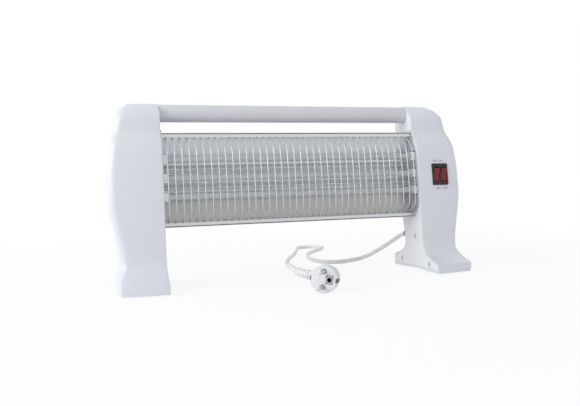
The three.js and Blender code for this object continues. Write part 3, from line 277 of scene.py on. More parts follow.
def through(points: Array, steps: int) -> Array:
    """A centripetal Catmull-Rom curve through points, each span blended from its four neighbours.

    Args:
        points: The points.
        steps: How many points each span gets.

    Returns:
        The points of the curve.
    """
    ends = np.vstack([2 * points[0] - points[1], points, 2 * points[-1] - points[-2]])
    p0, p1, p2, p3 = (ends[i : len(ends) - 3 + i, None] for i in range(4))
    spans = ((p0, p1), (p1, p2), (p2, p3))
    root = [np.sqrt(np.linalg.norm(b - a, axis=-1, keepdims=True)) for a, b in spans]
    t1, t2, t3 = root[0], root[0] + root[1], root[0] + root[1] + root[2]
    t = t1 + (t2 - t1) * np.linspace(0, 1, steps, endpoint=False)[None, :, None]
    a1 = ((t1 - t) * p0 + t * p1) / t1
    a2 = ((t2 - t) * p1 + (t - t1) * p2) / (t2 - t1)
    a3 = ((t3 - t) * p2 + (t - t2) * p3) / (t3 - t2)
    b1 = ((t2 - t) * a1 + t * a2) / t2
    b2 = ((t3 - t) * a2 + (t - t1) * a3) / (t3 - t1)
    curve = ((t2 - t) * b1 + (t - t1) * b2) / (t2 - t1)
    return np.vstack([curve.reshape(-1, points.shape[1]), points[-1:]])


def evenly(path: Array, spacing: float) -> Array:
    """A path with its points at even steps.

    Args:
        path: The path.
        spacing: About how long a step is.

    Returns:
        The same path in new points.
    """
    travelled = np.concatenate([[0], np.cumsum(np.linalg.norm(np.diff(path, axis=0), axis=1))])
    wanted = np.linspace(0, travelled[-1], max(2, round(travelled[-1] / spacing)))
    return np.stack([np.interp(wanted, travelled, column) for column in path.T], 1)


def about(axis: str, degrees: float) -> Array:
    """The 3 by 3 matrix of a turn about an axis."""
    return np.array(Matrix.Rotation(math.radians(degrees), 3, axis))


def sheet_outline(middle: Array, thickness: float) -> Array:
    """The outline of a bent sheet: its middle line moved half the thickness to each side.

    Args:
        middle: The middle line in the side view.
        thickness: The sheet's thickness.

    Returns:
        The closed outline.
    """
    along = unit(np.gradient(middle, axis=0))
    aside = np.stack([-along[:, 1], along[:, 0]], 1) * thickness / 2
    return np.vstack([middle + aside, (middle - aside)[::-1]])


# From surfaces to pieces of the scene


def mesh_of(skin: Skin, name: str) -> bpy.types.Mesh:
    """A mesh in metres, with doubled points merged and every face turned outwards.

    Args:
        skin: The surface in millimetres.
        name: The mesh's name.

    Returns:
        The mesh.
    """
    mesh = bpy.data.meshes.new(name)
    faces = [row for block in skin.faces for row in block.tolist()]
    mesh.from_pydata((skin.points * MM).tolist(), [], faces)
    return cleaned(mesh)


def cleaned(mesh: bpy.types.Mesh, flat: float = 0.0) -> bpy.types.Mesh:
    """Merges a mesh's doubled points and turns its faces outwards.

    Args:
        mesh: The mesh, changed in place.
        flat: Faces that meet at less than this angle, in degrees, become one.

    Returns:
        The same mesh.
    """
    work = bmesh.new()
    work.from_mesh(mesh)
    bmesh.ops.remove_doubles(work, verts=work.verts, dist=2e-6)
    bmesh.ops.dissolve_degenerate(work, edges=work.edges, dist=1e-7)
    if flat:
        bmesh.ops.dissolve_limit(work, verts=work.verts, edges=work.edges, angle_limit=math.radians(flat))
    bmesh.ops.recalc_face_normals(work, faces=work.faces)
    work.to_mesh(mesh)
    work.free()
    return mesh


class Piece:
    """A piece on the bench: its mesh is shaped step by step and then dressed and mounted."""

    def __init__(self, name: str, skin: Union[Skin, bpy.types.Mesh]) -> None:
        """Makes the object.

        Args:
            name: The piece's name.
            skin: Its surface in millimetres, or a finished mesh.
        """
        mesh = mesh_of(skin, name) if isinstance(skin, Skin) else skin
        self.thing = bpy.data.objects.new(name, mesh)
        bpy.context.scene.collection.objects.link(self.thing)

    @classmethod
    def like(cls, name: str, node: str, flat: float = 0.5) -> Piece:
        """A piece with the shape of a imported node, its flat faces made whole.

        Args:
            name: The new piece's name.
            node: The node.
            flat: Faces that meet at less than this angle, in degrees, become one.

        Returns:
            The piece.
        """
        return cls(name, cleaned(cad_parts[node].data.copy(), flat))

    def _settle(self) -> None:
        """Takes the result of the modifiers as the mesh."""
        graph = bpy.context.evaluated_depsgraph_get()
        made = bpy.data.meshes.new_from_object(self.thing.evaluated_get(graph))
        self.thing.modifiers.clear()
        self.thing.data = made

    def softened(self, width: float, angle: float = 35, segments: int = 2) -> Piece:
        """Rounds the edges.

        Args:
            width: The rounding's width in millimetres.
            angle: The least angle between the faces of an edge that is rounded, in degrees.
            segments: Faces across the rounding.

        Returns:
            The same piece.
        """
        tool = self.thing.modifiers.new("edges", "BEVEL")
        tool.width = width * MM
        tool.segments = segments
        tool.limit_method = "ANGLE"
        tool.angle_limit = math.radians(angle)
        tool.harden_normals = False
        self._settle()
        return self

    def _combined(self, skin: Skin, operation: str) -> Piece:
        """Applies a boolean step with another closed surface.

        Args:
            skin: The other surface.
            operation: DIFFERENCE or UNION.

        Returns:
            The same piece.
        """
        other = Piece("cutter", skin)
        tool = self.thing.modifiers.new("cut", "BOOLEAN")
        tool.operation = operation
        tool.object = other.thing
        tool.solver = "EXACT"
        self._settle()
        bpy.data.objects.remove(other.thing)
        return self

    def cut(self, *skins: Skin) -> Piece:
        """Takes closed surfaces that don't touch each other out of the piece."""
        return self._combined(joined(skins), "DIFFERENCE")

    def joined_with(self, *skins: Skin) -> Piece:
        """Adds closed surfaces that don't touch each other to the piece."""
        return self._combined(joined(skins), "UNION")

    def mounted(
        self, finish: Finish, body: Body, replaces: Sequence[str] = (), smooth: float = 32, slot: str = ""
    ) -> bpy.types.Object:
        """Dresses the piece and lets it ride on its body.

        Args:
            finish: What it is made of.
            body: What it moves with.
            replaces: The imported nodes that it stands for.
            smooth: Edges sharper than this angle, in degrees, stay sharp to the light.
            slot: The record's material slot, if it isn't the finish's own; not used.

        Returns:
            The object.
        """
        mesh = self.thing.data
        mesh.materials.clear()
        mesh.materials.append(finish.material())
        mesh.polygons.foreach_set("material_index", np.zeros(len(mesh.polygons), np.int32))
        mesh.shade_smooth()
        mesh.set_sharp_from_angle(angle=math.radians(smooth))
        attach(self.thing, body.value)
        if replaces:
            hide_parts(*replaces)
        LOG.info("%s rides on %s with %d faces", self.thing.name, body.value, len(mesh.polygons))
        return self.thing


def dressed(nodes: Sequence[str], finish: Finish) -> None:
    """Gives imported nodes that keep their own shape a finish.

    Args:
        nodes: Their names.
        finish: What they are made of.
    """
    for node in nodes:
        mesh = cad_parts[node].data
        mesh.materials.clear()
        mesh.materials.append(finish.material())
        LOG.info("%s keeps its shape", node)


def rounded(node: str, finish: Finish, width: float) -> None:
    """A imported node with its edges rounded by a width, in a finish, on the heater."""
    Piece.like(f"{node}_soft", node).softened(width).mounted(finish, Body.HEATER, [node])


# Finishes


class Signal:
    """One output of a shader tree, which Python sums and products extend with Math nodes."""

    def __init__(self, tree: ShaderTree, socket: bpy.types.NodeSocket) -> None:
        """Keeps the socket and the tree that it is in."""
        self.tree = tree
        self.socket = socket

    def _math(self, operation: str, first: Value, second: Value) -> Signal:
        """A Math node on two values."""
        return self.tree.node("ShaderNodeMath", {"operation": operation}, {0: first, 1: second})

    def __add__(self, other: Value) -> Signal:
        """The sum."""
        return self._math("ADD", self, other)

    def __sub__(self, other: Value) -> Signal:
        """The difference."""
        return self._math("SUBTRACT", self, other)

    def __rsub__(self, other: Value) -> Signal:
        """The difference from a number."""
        return self._math("SUBTRACT", other, self)

    def __mul__(self, other: Value) -> Signal:
        """The product."""
        return self._math("MULTIPLY", self, other)

    __radd__ = __add__
    __rmul__ = __mul__

    def ramped(self, low: float, high: float) -> Signal:
        """0 below low, 1 above high and a straight rise between."""
        inputs = {"Value": self, "From Min": low, "From Max": high}
        return self.tree.node("ShaderNodeMapRange", {"clamp": True}, inputs)


Value = Union[Signal, float]


class ShaderTree:
    """The node tree of one material, or of the world."""

    # Places of the Mix node's colour sockets, because several of its sockets share a name
    MIX_FIRST, MIX_SECOND, MIX_COLOUR = 6, 7, 2

    def __init__(self, owner: Union[bpy.types.Material, bpy.types.World]) -> None:
        """Empties the owner's tree.

        Args:
            owner: The material, or the world.
        """
        self.owner = owner
        owner.use_nodes = True
        owner.node_tree.nodes.clear()

    @classmethod
    def named(cls, name: str) -> ShaderTree:
        """An empty tree in a new material."""
        return cls(bpy.data.materials.new(name))

    def node(self, kind: str, settings: dict, inputs: dict, output: Union[int, str] = 0) -> Signal:
        """Adds a node.

        Args:
            kind: The node's type.
            settings: Its settings, put in first.
            inputs: Values or signals for its sockets.
            output: Which output to give back.

        Returns:
            The output.
        """
        made = self.owner.node_tree.nodes.new(kind)
        for key, value in settings.items():
            setattr(made, key, value)
        for key, value in inputs.items():
            if isinstance(value, Signal):
                self.owner.node_tree.links.new(value.socket, made.inputs[key])
            else:
                made.inputs[key].default_value = value
        return Signal(self, made.outputs[output] if made.outputs else None)

    def place(self, stretch: Span = (1, 1, 1)) -> Signal:
        """The object's coordinates, each axis times its stretch."""
        here = self.node("ShaderNodeTexCoord", {}, {}, "Object")
        return self.node("ShaderNodeMapping", {}, {"Vector": here, "Scale": tuple(stretch)})

    def height(self) -> Signal:
        """How far up the object a point lies, in metres."""
        return self.node("ShaderNodeSeparateXYZ", {}, {0: self.place()}, "Z")

    def noise(self, size: float, stretch: Span = (1, 1, 1), detail: float = 2) -> Signal:
        """Cloudy values from 0 to 1, with spots of about a size in millimetres."""
        inputs = {"Vector": self.place(stretch), "Scale": 1 / (size * MM), "Detail": detail}
        return self.node("ShaderNodeTexNoise", {}, inputs)

    def blend(self, share: Value, first: Colour, second: Colour) -> Signal:
        """A colour between two colours."""
        inputs = {0: share, self.MIX_FIRST: (*first, 1), self.MIX_SECOND: (*second, 1)}
        return self.node("ShaderNodeMix", {"data_type": "RGBA"}, inputs, self.MIX_COLOUR)

    def bump(self, height: Signal, depth: float, **under: Signal) -> Signal:
        """A normal from a height that spans a depth in millimetres, over the Normal of another bump."""
        inputs = {"Height": height, "Distance": depth * MM, "Strength": 1, **under}
        return self.node("ShaderNodeBump", {}, inputs)

    def shaded(self, **inputs: object) -> bpy.types.Material:
        """Closes the tree with a Principled surface.

        Args:
            inputs: Values or signals for its sockets; underscores in their names stand for spaces.

        Returns:
            The material.
        """
        sockets = {key.replace("_", " "): value for key, value in inputs.items()}
        surface = self.node("ShaderNodeBsdfPrincipled", {}, sockets)
        self.node("ShaderNodeOutputMaterial", {}, {"Surface": surface})
        return self.owner


def dimmer(colour: Colour, share: float) -> Colour:
    """The colour with a share of it gone."""
    return tuple(value * (1 - share) for value in colour)


@dataclass(frozen=True)
class Finish:
    """What a piece is made of: its colour, its gloss and the record's slot that it stands for."""

    name: str
    slot: str
    colour: Colour
    roughness: float

    def material(self) -> bpy.types.Material:
        """The Blender material."""
        raise NotImplementedError


@dataclass(frozen=True)
class MouldedPlastic(Finish):
    """Injection-moulded plastic with a fine spark-eroded grain, slow flow marks and handling marks."""

    grain: float = 0.55
    depth: float = 0.012
    coat: float = 0.15
    marks: float = 0.03  # how much darker a flow mark is
    mark_size: float = 70
    rub_size: float = 9
    rub: float = 0.1  # how far the rubbed patches spread the roughness

    @lru_cache(maxsize=None)
    def material(self) -> bpy.types.Material:
        """Grain in the bump, flow marks in the colour and rubbed patches in the roughness.

        Returns:
            The material.
        """
        tree = ShaderTree.named(self.name)
        flow = tree.noise(self.mark_size, (1, 1, 0.4), 1)
        rubbed = tree.noise(self.rub_size, detail=4)
        grain = tree.noise(self.grain, detail=1)
        return tree.shaded(
            Base_Color=tree.blend(flow.ramped(0.35, 0.65), self.colour, dimmer(self.colour, self.marks)),
            Roughness=rubbed * self.rub + (self.roughness - self.rub / 2),
            IOR=1.5,
            Coat_Weight=self.coat,
            Coat_Roughness=0.12,
            Normal=tree.bump(grain, self.depth),
        )


@dataclass(frozen=True)
class SheetMetal(Finish):
    """Rolled sheet: fine lines along the roll, a slow waviness and a slight haze."""

    lines: float = 0.02
    wave: float = 0.05
    wave_size: float = 38
    dull: float = 0.12
    shine: float = 1
    line_size: float = 0.5
    haze_size: float = 16
    haze: float = 0.14  # how far the haze spreads the roughness

    def tone(self, tree: ShaderTree, haze: Signal) -> Signal:
        """The colour, dimmer where the haze lies."""
        return tree.blend(haze.ramped(0.3, 0.7), self.colour, dimmer(self.colour, self.dull))

    @lru_cache(maxsize=None)
    def material(self) -> bpy.types.Material:
        """Rolling lines and waves in the bump, haze in the roughness.

        Returns:
            The material.
        """
        tree = ShaderTree.named(self.name)
        rolled = tree.noise(self.line_size, (0.02, 1, 1), 2)
        wave = tree.noise(self.wave_size, (0.45, 1, 1), 1)
        haze = tree.noise(self.haze_size, (0.3, 1, 1), 3)
        return tree.shaded(
            Base_Color=self.tone(tree, haze),
            Metallic=self.shine,
            Roughness=haze * self.haze + (self.roughness - self.haze / 2),
            Normal=tree.bump(rolled, self.lines, Normal=tree.bump(wave, self.wave)),
        )


@dataclass(frozen=True)
class HeatedSheet(SheetMetal):
    """Sheet with painted shade over its lower panel: a darker grey just above the lower lip that fades out
    higher up.
    """

    # The darker grey of the painted shade on the lower panel, and the heights where it fades out
    stain: Colour = (0.45, 0.457, 0.44)
    lip: float = 87
    lip_fade: float = 2
    dull_below: float = 106
    clean_above: float = 140
    clouded: float = 0.15  # the haze's share in where the painted shade lies

    def tone(self, tree: ShaderTree, haze: Signal) -> Signal:
        """Painted shade over the lower panel above the lower lip, and the colour higher up and on the lip,
        blended by the haze.

        Args:
            tree: The tree that it is built in.
            haze: The cloudy values of the sheet.

        Returns:
            The colour.
        """
        height = tree.height()
        above = height.ramped(self.dull_below * MM, self.clean_above * MM)
        under = 1 - height.ramped((self.lip - self.lip_fade) * MM, self.lip * MM)
        share = (above + under) * (1 - self.clouded) + haze * self.clouded
        return tree.blend(share, self.stain, self.colour)


@dataclass(frozen=True)
class PlatedMetal(Finish):
    """Plated or plain metal on a small part, with tarnish in patches."""

    tarnish: Colour = (0.45, 0.42, 0.38)
    patch: float = 4
    share: float = 0.35
    drawn_size: float = 0.3
    drawn_depth: float = 0.006

    @lru_cache(maxsize=None)
    def material(self) -> bpy.types.Material:
        """Patches of tarnish in the colour and the roughness.

        Returns:
            The material.
        """
        tree = ShaderTree.named(self.name)
        patches = tree.noise(self.patch, detail=4).ramped(0.45, 0.75) * self.share
        drawn = tree.noise(self.drawn_size, detail=1)
        return tree.shaded(
            Base_Color=tree.blend(patches, self.colour, self.tarnish),
            Metallic=1.0,
            Roughness=patches * 0.4 + self.roughness,
            Normal=tree.bump(drawn, self.drawn_depth),
        )


@dataclass(frozen=True)
class FiredCeramic(Finish):
    """Unglazed steatite: chalky, with fine specks and a dry grain."""

    speck: Colour = (0.62, 0.6, 0.56)
    speck_size: float = 0.7
    grain: float = 0.25
    depth: float = 0.02

    @lru_cache(maxsize=None)
    def material(self) -> bpy.types.Material:
        """Specks in the colour and grain in the bump.

        Returns:
            The material.
        """
        tree = ShaderTree.named(self.name)
        specks = tree.noise(self.speck_size, detail=2).ramped(0.62, 0.7)
        grain = tree.noise(self.grain, detail=3)
        return tree.shaded(
            Base_Color=tree.blend(specks * 0.5, self.colour, self.speck),
            Roughness=grain * 0.15 + self.roughness,
            Normal=tree.bump(grain, self.depth),
        )


@dataclass(frozen=True)
class QuartzGlass(Finish):
    """Milky drawn quartz, which veils the coil inside it, with drawing lines along the tube."""

    clear: float = 0.35  # how much of the light passes straight through
    line_size: float = 1.4
    line_depth: float = 0.05
    milk: float = 0.05  # how much darker a line is

    @lru_cache(maxsize=None)
    def material(self) -> bpy.types.Material:
        """Drawing lines in the bump.

        Returns:
            The material.
        """
        tree = ShaderTree.named(self.name)
        lines = tree.noise(self.line_size, (0.03, 1, 1), 2)
        return tree.shaded(
            Base_Color=tree.blend(lines.ramped(0.4, 0.6), self.colour, dimmer(self.colour, self.milk)),
            Roughness=lines * 0.06 + self.roughness,
            IOR=1.46,
            Transmission_Weight=self.clear,
            Normal=tree.bump(lines, self.line_depth),
        )


@dataclass(frozen=True)
class SoftMoulding(Finish):
    """Flexible vinyl or rubber: matt, with a soft sheen, dust in patches and a fine skin."""

    dust: Colour = (0.6, 0.6, 0.6)
    skin: float = 0.6
    skin_depth: float = 0.02
    dust_size: float = 12

    @lru_cache(maxsize=None)
    def material(self) -> bpy.types.Material:
        """Dust in the colour and the skin's grain in the bump.

        Returns:
            The material.
        """
        tree = ShaderTree.named(self.name)
        dusty = tree.noise(self.dust_size, detail=4).ramped(0.5, 0.8) * 0.25
        skin = tree.noise(self.skin, detail=2)
        return tree.shaded(
            Base_Color=tree.blend(dusty, self.colour, self.dust),
            Roughness=dusty * 0.5 + self.roughness,
            Sheen_Weight=0.05,
            Normal=tree.bump(skin, self.skin_depth),
        )


@dataclass(frozen=True)
class TintedPlastic(Finish):
    """Glossy see-through plastic of a lit rocker, darker where it is thick."""

    deep: Colour = (0.2, 0.01, 0.017)
    cloud_size: float = 6
    skin: float = 0.5
    skin_depth: float = 0.006

    @lru_cache(maxsize=None)
    def material(self) -> bpy.types.Material:
        """Slow depth changes in the colour, and a polished skin.

        Returns:
            The material.
        """
        tree = ShaderTree.named(self.name)
        depth = tree.noise(self.cloud_size, detail=1).ramped(0.3, 0.7)
        fine = tree.noise(self.skin, detail=1)
        return tree.shaded(
            Base_Color=tree.blend(depth, self.colour, self.deep),
            Roughness=fine * 0.08 + self.roughness,
            IOR=1.49,
            Specular_IOR_Level=0.35,
            Subsurface_Weight=0.12,
            Subsurface_Radius=(0.004, 0.0006, 0.0006),
            Coat_Weight=0.05,
            Normal=tree.bump(fine, self.skin_depth),
        )


@dataclass(frozen=True)
class WovenSleeve(Finish):
    """Woven glass sleeving of an inner lead."""

    worn: Colour = (0.5, 0.46, 0.38)
    worn_size: float = 3
    strand: float = 0.45
    depth: float = 0.05

    @lru_cache(maxsize=None)
    def material(self) -> bpy.types.Material:
        """A fine check in the bump, and worn patches in the colour and the roughness.

        Returns:
            The material.
        """
        tree = ShaderTree.named(self.name)
        inputs = {"Vector": tree.place(), "Scale": 1 / (self.strand * MM)}
        weave = tree.node("ShaderNodeTexChecker", {}, inputs, "Fac")
        worn = tree.noise(self.worn_size, detail=3)
        return tree.shaded(
            Base_Color=tree.blend(worn.ramped(0.4, 0.7), self.colour, self.worn),
            Roughness=worn * 0.1 + self.roughness,
            Normal=tree.bump(weave, self.depth),
        )


# Painted shade: the shell's colour is a darker, bluer copy of the cover's white plastic, with the tint of
# shade light painted in
SHADE_TINTED_SHELL = MouldedPlastic("shell_plastic", "housing_plastic", (0.76, 0.79, 0.865), 0.36)
COVER = MouldedPlastic("cover_plastic", "cover_plastic", (0.895, 0.915, 0.94), 0.46, coat=0.05)
GRIP = MouldedPlastic("handle_plastic", "housing_plastic", (0.7, 0.71, 0.765), 0.4, 0.9, 0.006, 0.05)
BLACK = MouldedPlastic("switch_plastic", "switch_black", (0.008, 0.011, 0.012), 0.36, grain=0.3, coat=0)
NYLON = MouldedPlastic("nylon", "nylon", (0.66, 0.66, 0.62), 0.5)
RED = TintedPlastic("rocker_plastic", "rocker_red", (0.23, 0.012, 0.02), 0.16)
# The reflector's sheet carries painted shade over its lower panel
MIRROR_STEEL = HeatedSheet("mirror_steel", "polished_steel", (0.7, 0.715, 0.75), 0.28, wave=0.03, shine=0.62)
CHEEK_STEEL = SheetMetal("cheek_steel", "polished_steel", (0.7, 0.715, 0.74), 0.3, shine=0.6)
PLAIN_STEEL = SheetMetal("plain_steel", "casing_steel", (0.52, 0.53, 0.55), 0.36, wave_size=60, dull=0.2)
BRIGHT_WIRE = PlatedMetal("bright_wire", "guard_wire", (0.66, 0.68, 0.70), 0.35, (0.5, 0.5, 0.52))
# Painted shade: the cap retainer is near black so that the slots round the caps read as shade
SHADE_BLACK_STEEL = PlatedMetal("dark_steel", "zinc_steel", (0.1, 0.1, 0.105), 0.45, (0.06, 0.06, 0.06))
ZINC = PlatedMetal("zinc_steel", "zinc_steel", (0.5, 0.51, 0.53), 0.32)
BRASS = PlatedMetal("brass", "terminal_brass", (0.68, 0.5, 0.2), 0.3, (0.3, 0.2, 0.1))
NICKEL = PlatedMetal("nickel", "pin_steel", (0.66, 0.66, 0.66), 0.25)
# Painted shade: the earth strap is near black so that the plug's earth pocket and clip slots read as shade
SHADE_DARK_NICKEL = PlatedMetal("dull_nickel", "pin_steel", (0.13, 0.135, 0.14), 0.42, (0.08, 0.08, 0.08))
HOT_WIRE = PlatedMetal("hot_wire", "resistance_wire", (0.42, 0.41, 0.4), 0.4, (0.24, 0.22, 0.2), 2, 0.6)
CERAMIC = FiredCeramic("ceramic", "cap_ceramic", (0.96, 0.96, 0.955), 0.6)
QUARTZ = QuartzGlass("quartz", "quartz", (0.80, 0.83, 0.86), 0.3)
CORD = SoftMoulding("cord_vinyl", "cord_grey", (0.86, 0.86, 0.865), 0.42)
PLUG = SoftMoulding("plug_vinyl", "plug_plastic", (0.81, 0.825, 0.85), 0.4, (0.72, 0.72, 0.72), 0.8)
RUBBER = SoftMoulding("pad_rubber", "pad_rubber", (0.035, 0.035, 0.038), 0.75, (0.2, 0.2, 0.2), 0.9)
BUSH = SoftMoulding("bush_rubber", "cord_grey", (0.36, 0.36, 0.37), 0.55)
SLEEVING = WovenSleeve("glass_sleeve", "lead_insulation", (0.7, 0.67, 0.58), 0.7)
INK = MouldedPlastic("ink", "switch_black", (0.04, 0.045, 0.05), 0.5)


# Studio


@dataclass(frozen=True)
class Studio:
    """The camera at the photograph's place, a pale floor and soft light."""

    focal: float = 601.4  # in pixels of the photograph
    frame_width: float = 580
    sensor: float = 36
    place: tuple[float, float, float] = (-255.3, -816.8, 126.0)
    yaw: float = 16.77
    pitch: float = -1.24
    roll: float = -1.75
    clip_start: float = 10
    clip_end: float = 50000
    floor_half: float = 9000
    floor_tone: Colour = (0.97, 0.97, 0.97)
    surround: float = 0.67
    plain: float = 0.86  # how much of the floor near the object is shown as plain white
    shadow_near: float = 450
    shadow_far: float = 1100
    lamp_place: tuple[float, float, float] = (-1900, -350, 1000)
    lamp_aim: tuple[float, float, float] = (0, 0, 120)
    lamp_side: float = 1400
    lamp_watts: float = 19.6

    def camera(self) -> None:
        """Puts the camera at its place, looking along its yaw and pitch and turned by its roll."""
        yaw, pitch, roll = (math.radians(value) for value in (self.yaw, self.pitch, self.roll))
        ahead = np.array([math.sin(yaw) * math.cos(pitch), math.cos(yaw) * math.cos(pitch), math.sin(pitch)])
        level = np.array([math.cos(yaw), -math.sin(yaw), 0])
        upright = np.cross(level, ahead)
        across = math.cos(roll) * level + math.sin(roll) * upright
        above = math.cos(roll) * upright - math.sin(roll) * level
        lens = bpy.data.cameras.new("camera")
        lens.sensor_fit = "HORIZONTAL"
        lens.sensor_width = self.sensor
        lens.lens = self.focal * self.sensor / self.frame_width
        lens.clip_start, lens.clip_end = self.clip_start * MM, self.clip_end * MM
        holder = bpy.data.objects.new("camera", lens)
        turn = Matrix(np.stack([across, above, -ahead], 1).tolist()).to_4x4()
        holder.matrix_world = Matrix.Translation(np.array(self.place) * MM) @ turn
        bpy.context.scene.collection.objects.link(holder)
        bpy.context.scene.camera = holder

    def _seen(self, tree: ShaderTree) -> Signal:
        """1 for rays that show the background: straight ones, mirrored ones and those through glass.

        Args:
            tree: The tree that it is built in.

        Returns:
            The mask.
        """
        kinds = ("Camera", "Glossy", "Transmission")
        straight, mirrored, refracted = (
            tree.node("ShaderNodeLightPath", {}, {}, f"Is {kind} Ray") for kind in kinds)
        return (straight + mirrored + refracted).ramped(0, 1)

    def floor(self) -> None:
        """A white floor that keeps the object's faint shadow, and is plain white far from it."""
        corners = np.array([[(-1, -1, 0), (1, -1, 0)], [(-1, 1, 0), (1, 1, 0)]])
        ground = Piece("floor", grid(corners * self.floor_half))
        tree = ShaderTree.named("floor")
        matt = tree.node("ShaderNodeBsdfDiffuse", {}, {"Color": (*self.floor_tone, 1)})
        glow = tree.node("ShaderNodeEmission", {}, {"Color": (1, 1, 1, 1), "Strength": 1.0})
        away = tree.node("ShaderNodeVectorMath", {"operation": "LENGTH"}, {0: tree.place()}, "Value")
        share = away.ramped(self.shadow_near * MM, self.shadow_far * MM) * (1 - self.plain) + self.plain
        mixed = tree.node("ShaderNodeMixShader", {}, {0: self._seen(tree) * share, 1: matt, 2: glow})
        tree.node("ShaderNodeOutputMaterial", {}, {"Surface": mixed})
        ground.thing.data.materials.append(tree.owner)

    def world(self) -> None:
        """Even light all round, shown as white."""
        sky = bpy.data.worlds.new("surround")
        bpy.context.scene.world = sky
        tree = ShaderTree(sky)
        strength = self._seen(tree) * (1 - self.surround) + self.surround
        light = tree.node("ShaderNodeBackground", {}, {"Color": (1, 1, 1, 1), "Strength": strength})
        tree.node("ShaderNodeOutputWorld", {}, {"Surface": light})

    def lamp(self) -> None:
        """A soft square lamp that hangs at its place and faces its aim."""
        light = bpy.data.lights.new("key", "AREA")
        light.size = self.lamp_side * MM
        light.energy = self.lamp_watts
        holder = bpy.data.objects.new("key", light)
        place = np.array(self.lamp_place, float)
        back = unit(place - np.array(self.lamp_aim, float))
        level = unit(np.cross((0, 0, 1), back))
        turn = Matrix(np.stack([level, np.cross(back, level), back], 1).tolist()).to_4x4()
        holder.matrix_world = Matrix.Translation(place * MM) @ turn
        bpy.context.scene.collection.objects.link(holder)

    def build(self) -> None:
        """Everything that isn't the object."""
        bpy.context.scene.view_settings.view_transform = "Standard"
        self.camera()
        self.floor()
        self.world()
        self.lamp()
        LOG.info("studio ready")


# Housings


def smooth_line(rows: Sequence[Span]) -> Line:
    """A line through rows of height and value that never swings past them.

    The slope at a row is the harmonic mean of the slopes beside it, or nothing at a crest, and a
    cubic joins each row to the next.

    Args:
        rows: Pairs of height and value, from the lowest up.

    Returns:
        A function that gives the value at each height.
    """
    height, value = np.asarray(rows, float).T
    secant = np.diff(value) / np.diff(height)
    before, after = secant[:-1], secant[1:]
    crest = before * after <= 0
    inner = np.where(crest, 0, 2 * before * after / np.where(crest, 1, before + after))
    slope = np.concatenate([secant[:1], inner, secant[-1:]])

    def at(place: Union[float, Array]) -> Array:
        """The value at each height, held level beyond the ends.

        Args:
            place: The heights.

        Returns:
            The values.
        """
        held = np.clip(place, height[0], height[-1])
        row = np.clip(np.searchsorted(height, held) - 1, 0, len(secant) - 1)
        span = height[row + 1] - height[row]
        t = (held - height[row]) / span
        level = value[row] * (1 + 2 * t) * (1 - t) ** 2 + value[row + 1] * t * t * (3 - 2 * t)
        return level + span * (slope[row] * t * (1 - t) ** 2 - slope[row + 1] * t * t * (1 - t))

    return at


